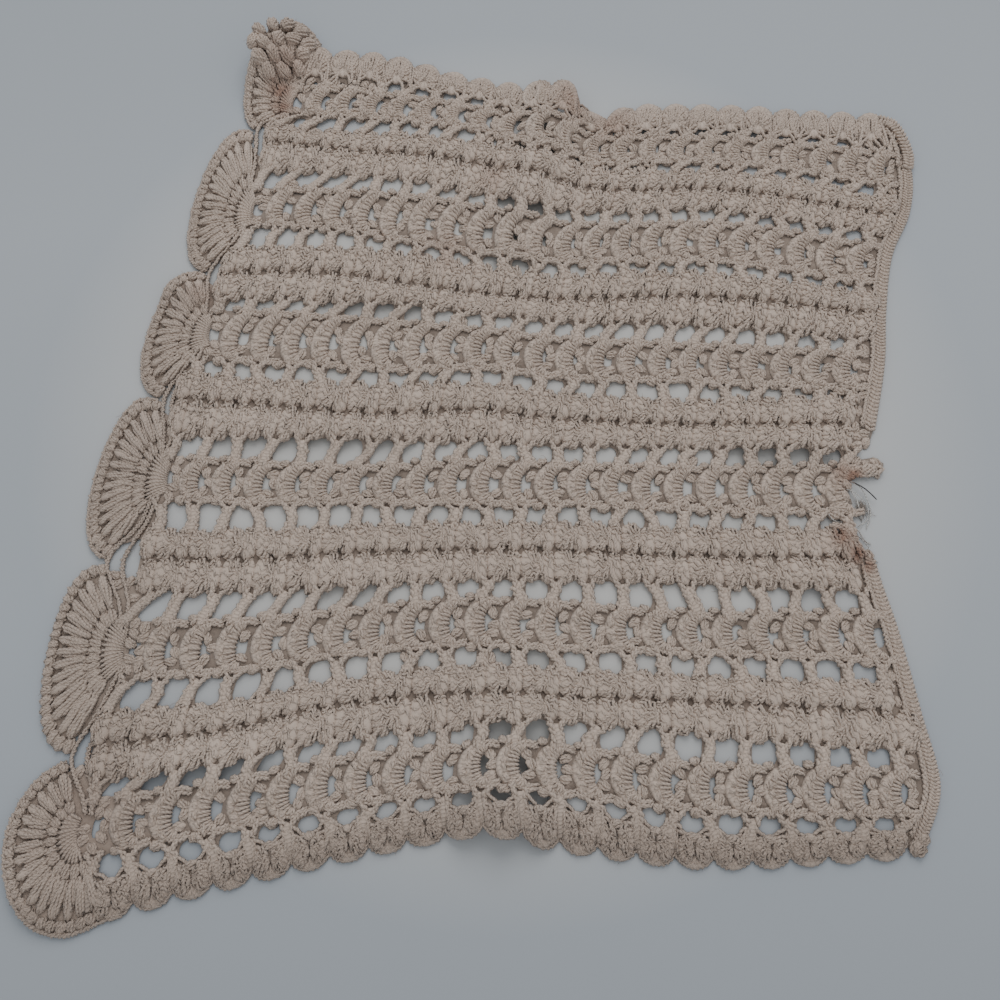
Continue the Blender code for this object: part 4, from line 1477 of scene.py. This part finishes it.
def cotton_material(name, groups, cotton=COTTON, worked=True, relief_depth=0.00032, roughness=0.86):
    """Plied cotton yarn, or the plain worked ground behind it."""
    material = bpy.data.materials.new(name)
    material.use_nodes = True
    tree = material.node_tree
    shader = tree.nodes["Principled BSDF"]
    shader.inputs["Roughness"].default_value = roughness
    shader.inputs["Specular IOR Level"].default_value = 0.22
    shader.inputs["Sheen Weight"].default_value = 0.16
    shader.inputs["Sheen Roughness"].default_value = 0.5
    fuzz = placed(tree, groups["cotton_fuzz"])
    marks = placed(tree, groups["age_marks_and_painted_shade"])
    marks.inputs["Cotton"].default_value = cotton
    if worked:
        twist = placed(tree, groups["ply_twist"])
        tree.links.new(twist.outputs["Tone"], marks.inputs["Tone"])
        relief = twist.outputs["Relief"]
    else:
        place = add_node(tree, "ShaderNodeTexCoord")
        threads = add_node(tree, "ShaderNodeTexVoronoi", Scale=640.0)
        tree.links.new(place.outputs["Object"], threads.inputs["Vector"])
        relief = maths(tree, "SUBTRACT", 1.0, threads.outputs["Distance"])
    tree.links.new(relief, marks.inputs["Relief"])
    tree.links.new(marks.outputs["Color"], shader.inputs["Base Color"])
    height = maths(tree, "MULTIPLY_ADD", fuzz.outputs["Fibres"], 0.9,
                   maths(tree, "MULTIPLY_ADD", fuzz.outputs["Slubs"], 0.8, relief))
    bump = add_node(tree, "ShaderNodeBump", Strength=0.8, Distance=relief_depth)
    tree.links.new(height, bump.inputs["Height"])
    tree.links.new(bump.outputs[0], shader.inputs["Normal"])
    rough = maths(tree, "MULTIPLY_ADD", fuzz.outputs["Fibres"], 0.2, roughness - 0.1)
    tree.links.new(rough, shader.inputs["Roughness"])
    return material


def dark_thread_material():
    """The burnt brown of the one dark thread end."""
    material = bpy.data.materials.new("dark_thread")
    material.use_nodes = True
    tree = material.node_tree
    shader = tree.nodes["Principled BSDF"]
    place = add_node(tree, "ShaderNodeTexCoord")
    grain = add_node(tree, "ShaderNodeTexNoise", Scale=1400.0, Detail=2.0)
    tree.links.new(place.outputs["Object"], grain.inputs["Vector"])
    tree.links.new(mixed(tree, grain.outputs[0], *DARK_THREAD), shader.inputs["Base Color"])
    tree.links.new(maths(tree, "MULTIPLY_ADD", grain.outputs[0], 0.2, 0.5), shader.inputs["Roughness"])
    bump = add_node(tree, "ShaderNodeBump", Strength=0.4, Distance=0.00005)
    tree.links.new(grain.outputs[0], bump.inputs["Height"])
    tree.links.new(bump.outputs[0], shader.inputs["Normal"])
    return material


def board_material():
    """The pale painted board under the lace, its distances in metres from the lace's middle."""
    material = bpy.data.materials.new("pale_board")
    material.use_nodes = True
    tree = material.node_tree
    shader = tree.nodes["Principled BSDF"]
    shader.inputs["Specular IOR Level"].default_value = 0.25
    place = add_node(tree, "ShaderNodeTexCoord")
    cloud = add_node(tree, "ShaderNodeTexNoise", Scale=9.0, Detail=4.0)
    grain = add_node(tree, "ShaderNodeTexNoise", Scale=900.0, Detail=2.0)
    for noise in (cloud, grain):
        tree.links.new(place.outputs["Object"], noise.inputs["Vector"])
    paint = mixed(tree, cloud.outputs[0], *BOARD_PAINT)
    far = add_node(tree, "ShaderNodeVectorMath", operation="LENGTH")
    tree.links.new(place.outputs["Object"], far.inputs[0])
    apart = add_node(tree, "ShaderNodeSeparateXYZ")
    tree.links.new(place.outputs["Object"], apart.inputs[0])
    # Painted shade: the board darkens towards the far and the near side, where the light falls off.
    falloff_shade = add_node(tree, "ShaderNodeMapRange", From_Min=0.08, From_Max=0.20, To_Min=0.0, To_Max=1.0)
    tree.links.new(maths(tree, "ABSOLUTE", apart.outputs["Y"]), falloff_shade.inputs["Value"])
    paint = mixed(tree, falloff_shade.outputs[0], paint, PAINTED_FALLOFF_SHADE)
    # Painted light: under the lace the board is coloured paler and warmer, so that it looks bright through
    # the windows.
    lit_under_lace = add_node(tree, "ShaderNodeMapRange", From_Min=0.10, From_Max=0.17, To_Min=0.85, To_Max=0.0)
    tree.links.new(far.outputs["Value"], lit_under_lace.inputs["Value"])
    colour = mixed(tree, lit_under_lace.outputs[0], paint, PAINTED_LIGHT_UNDER_LACE)
    tree.links.new(colour, shader.inputs["Base Color"])
    rough = maths(tree, "MULTIPLY_ADD", grain.outputs[0], 0.15, 0.5)
    tree.links.new(rough, shader.inputs["Roughness"])
    bump = add_node(tree, "ShaderNodeBump", Strength=0.15, Distance=0.0001)
    tree.links.new(grain.outputs[0], bump.inputs["Height"])
    tree.links.new(bump.outputs[0], shader.inputs["Normal"])
    return material


# ---- make every piece ----
GROUPS = {"ply_twist": ply_twist(), "cotton_fuzz": cotton_fuzz(), "age_marks_and_painted_shade": age_marks_and_painted_shade()}
yarn_material = cotton_material("cotton_yarn", GROUPS)
bleached_material = cotton_material("bleached_cotton", GROUPS, cotton=BLEACHED_COTTON)
dark_material = dark_thread_material()
# The ground gets the dark colour of painted shade.
shaded_ground_material = cotton_material("cotton_ground_in_painted_shade", GROUPS, cotton=GROUND_IN_PAINTED_SHADE, worked=False)

sheet_piece, sheet_area = lace_ground(shaded_ground_material)
edge_shells(FAR_EDGE).make("far_edge_shells", yarn_material)
edge_shells(NEAR_EDGE).make("near_edge_shells", yarn_material)
for number, line in enumerate(range(2, NEAR_EDGE, 2), 1):
    shell_band(line).make(f"shell_band_{number}", yarn_material)
for number, line in enumerate(range(1, NEAR_EDGE, 2), 1):
    row = fan_row(line)
    legs(row, line - 1)
    legs(row, line)
    row.make(f"fan_row_{number}", yarn_material)
for number in range(len(SCALLOPS)):
    big_scallop(number).make(f"scallop_{number + 1}", yarn_material)
neck_chains().make("neck_chains", yarn_material)
ribbed_border().make("ribbed_border", yarn_material)
filling(ground_outline(), ground_openings()).make("filling_stitches", yarn_material)
corner_braid().make("corner_braid", yarn_material)
torn_ends().make("torn_ends", yarn_material)
torn_threads().make("torn_threads", bleached_material, in_the_open=True)
loose_fibres().make("loose_fibres", yarn_material, in_the_open=True)
dark_thread().make("dark_thread", dark_material)

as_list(PIECES[1:])

# ---- floor, light and camera, in metres ----
FLOOR_HALF = 2.5                # half the width of the floor
KEY_PLACE = Vector((0.14, 0.85, 0.95))
KEY_SIZE = 0.9
KEY_POWER = 8.2                 # watts
SKY = (0.93, 0.97, 1.0, 1)
SKY_STRENGTH = 0.745
CAMERA_PLACE = (-0.00292, -0.13742, 0.33013)
CAMERA_TILT = 18                # degrees off looking straight down

floor_corners = [(x * FLOOR_HALF, y * FLOOR_HALF, 0) for x, y in ((-1, -1), (1, -1), (1, 1), (-1, 1))]
floor_mesh = bpy.data.meshes.new("floor")
floor_mesh.from_pydata(floor_corners, [], [(0, 1, 2, 3)])
floor_mesh.materials.append(board_material())
floor = bpy.data.objects.new("floor", floor_mesh)
bpy.context.scene.collection.objects.link(floor)

key_light = bpy.data.lights.new("key", "AREA")
key_light.shape = "SQUARE"
key_light.size = KEY_SIZE
key_light.energy = KEY_POWER
key_light.color = (1.0, 1.0, 1.0)
key = bpy.data.objects.new("key", key_light)
key.location = KEY_PLACE
key.rotation_euler = (-KEY_PLACE).to_track_quat("-Z", "Y").to_euler()
bpy.context.scene.collection.objects.link(key)

world = bpy.data.worlds.new("studio")
world.use_nodes = True
world.node_tree.nodes["Background"].inputs["Color"].default_value = SKY
world.node_tree.nodes["Background"].inputs["Strength"].default_value = SKY_STRENGTH
bpy.context.scene.world = world

camera_data = bpy.data.cameras.new("camera")
camera_data.lens = camera_data.sensor_width
camera_data.clip_start = 0.01
camera = bpy.data.objects.new("camera", camera_data)
camera.location = CAMERA_PLACE
camera.rotation_euler = (radians(CAMERA_TILT), 0, 0)
bpy.context.scene.collection.objects.link(camera)
bpy.context.scene.camera = camera
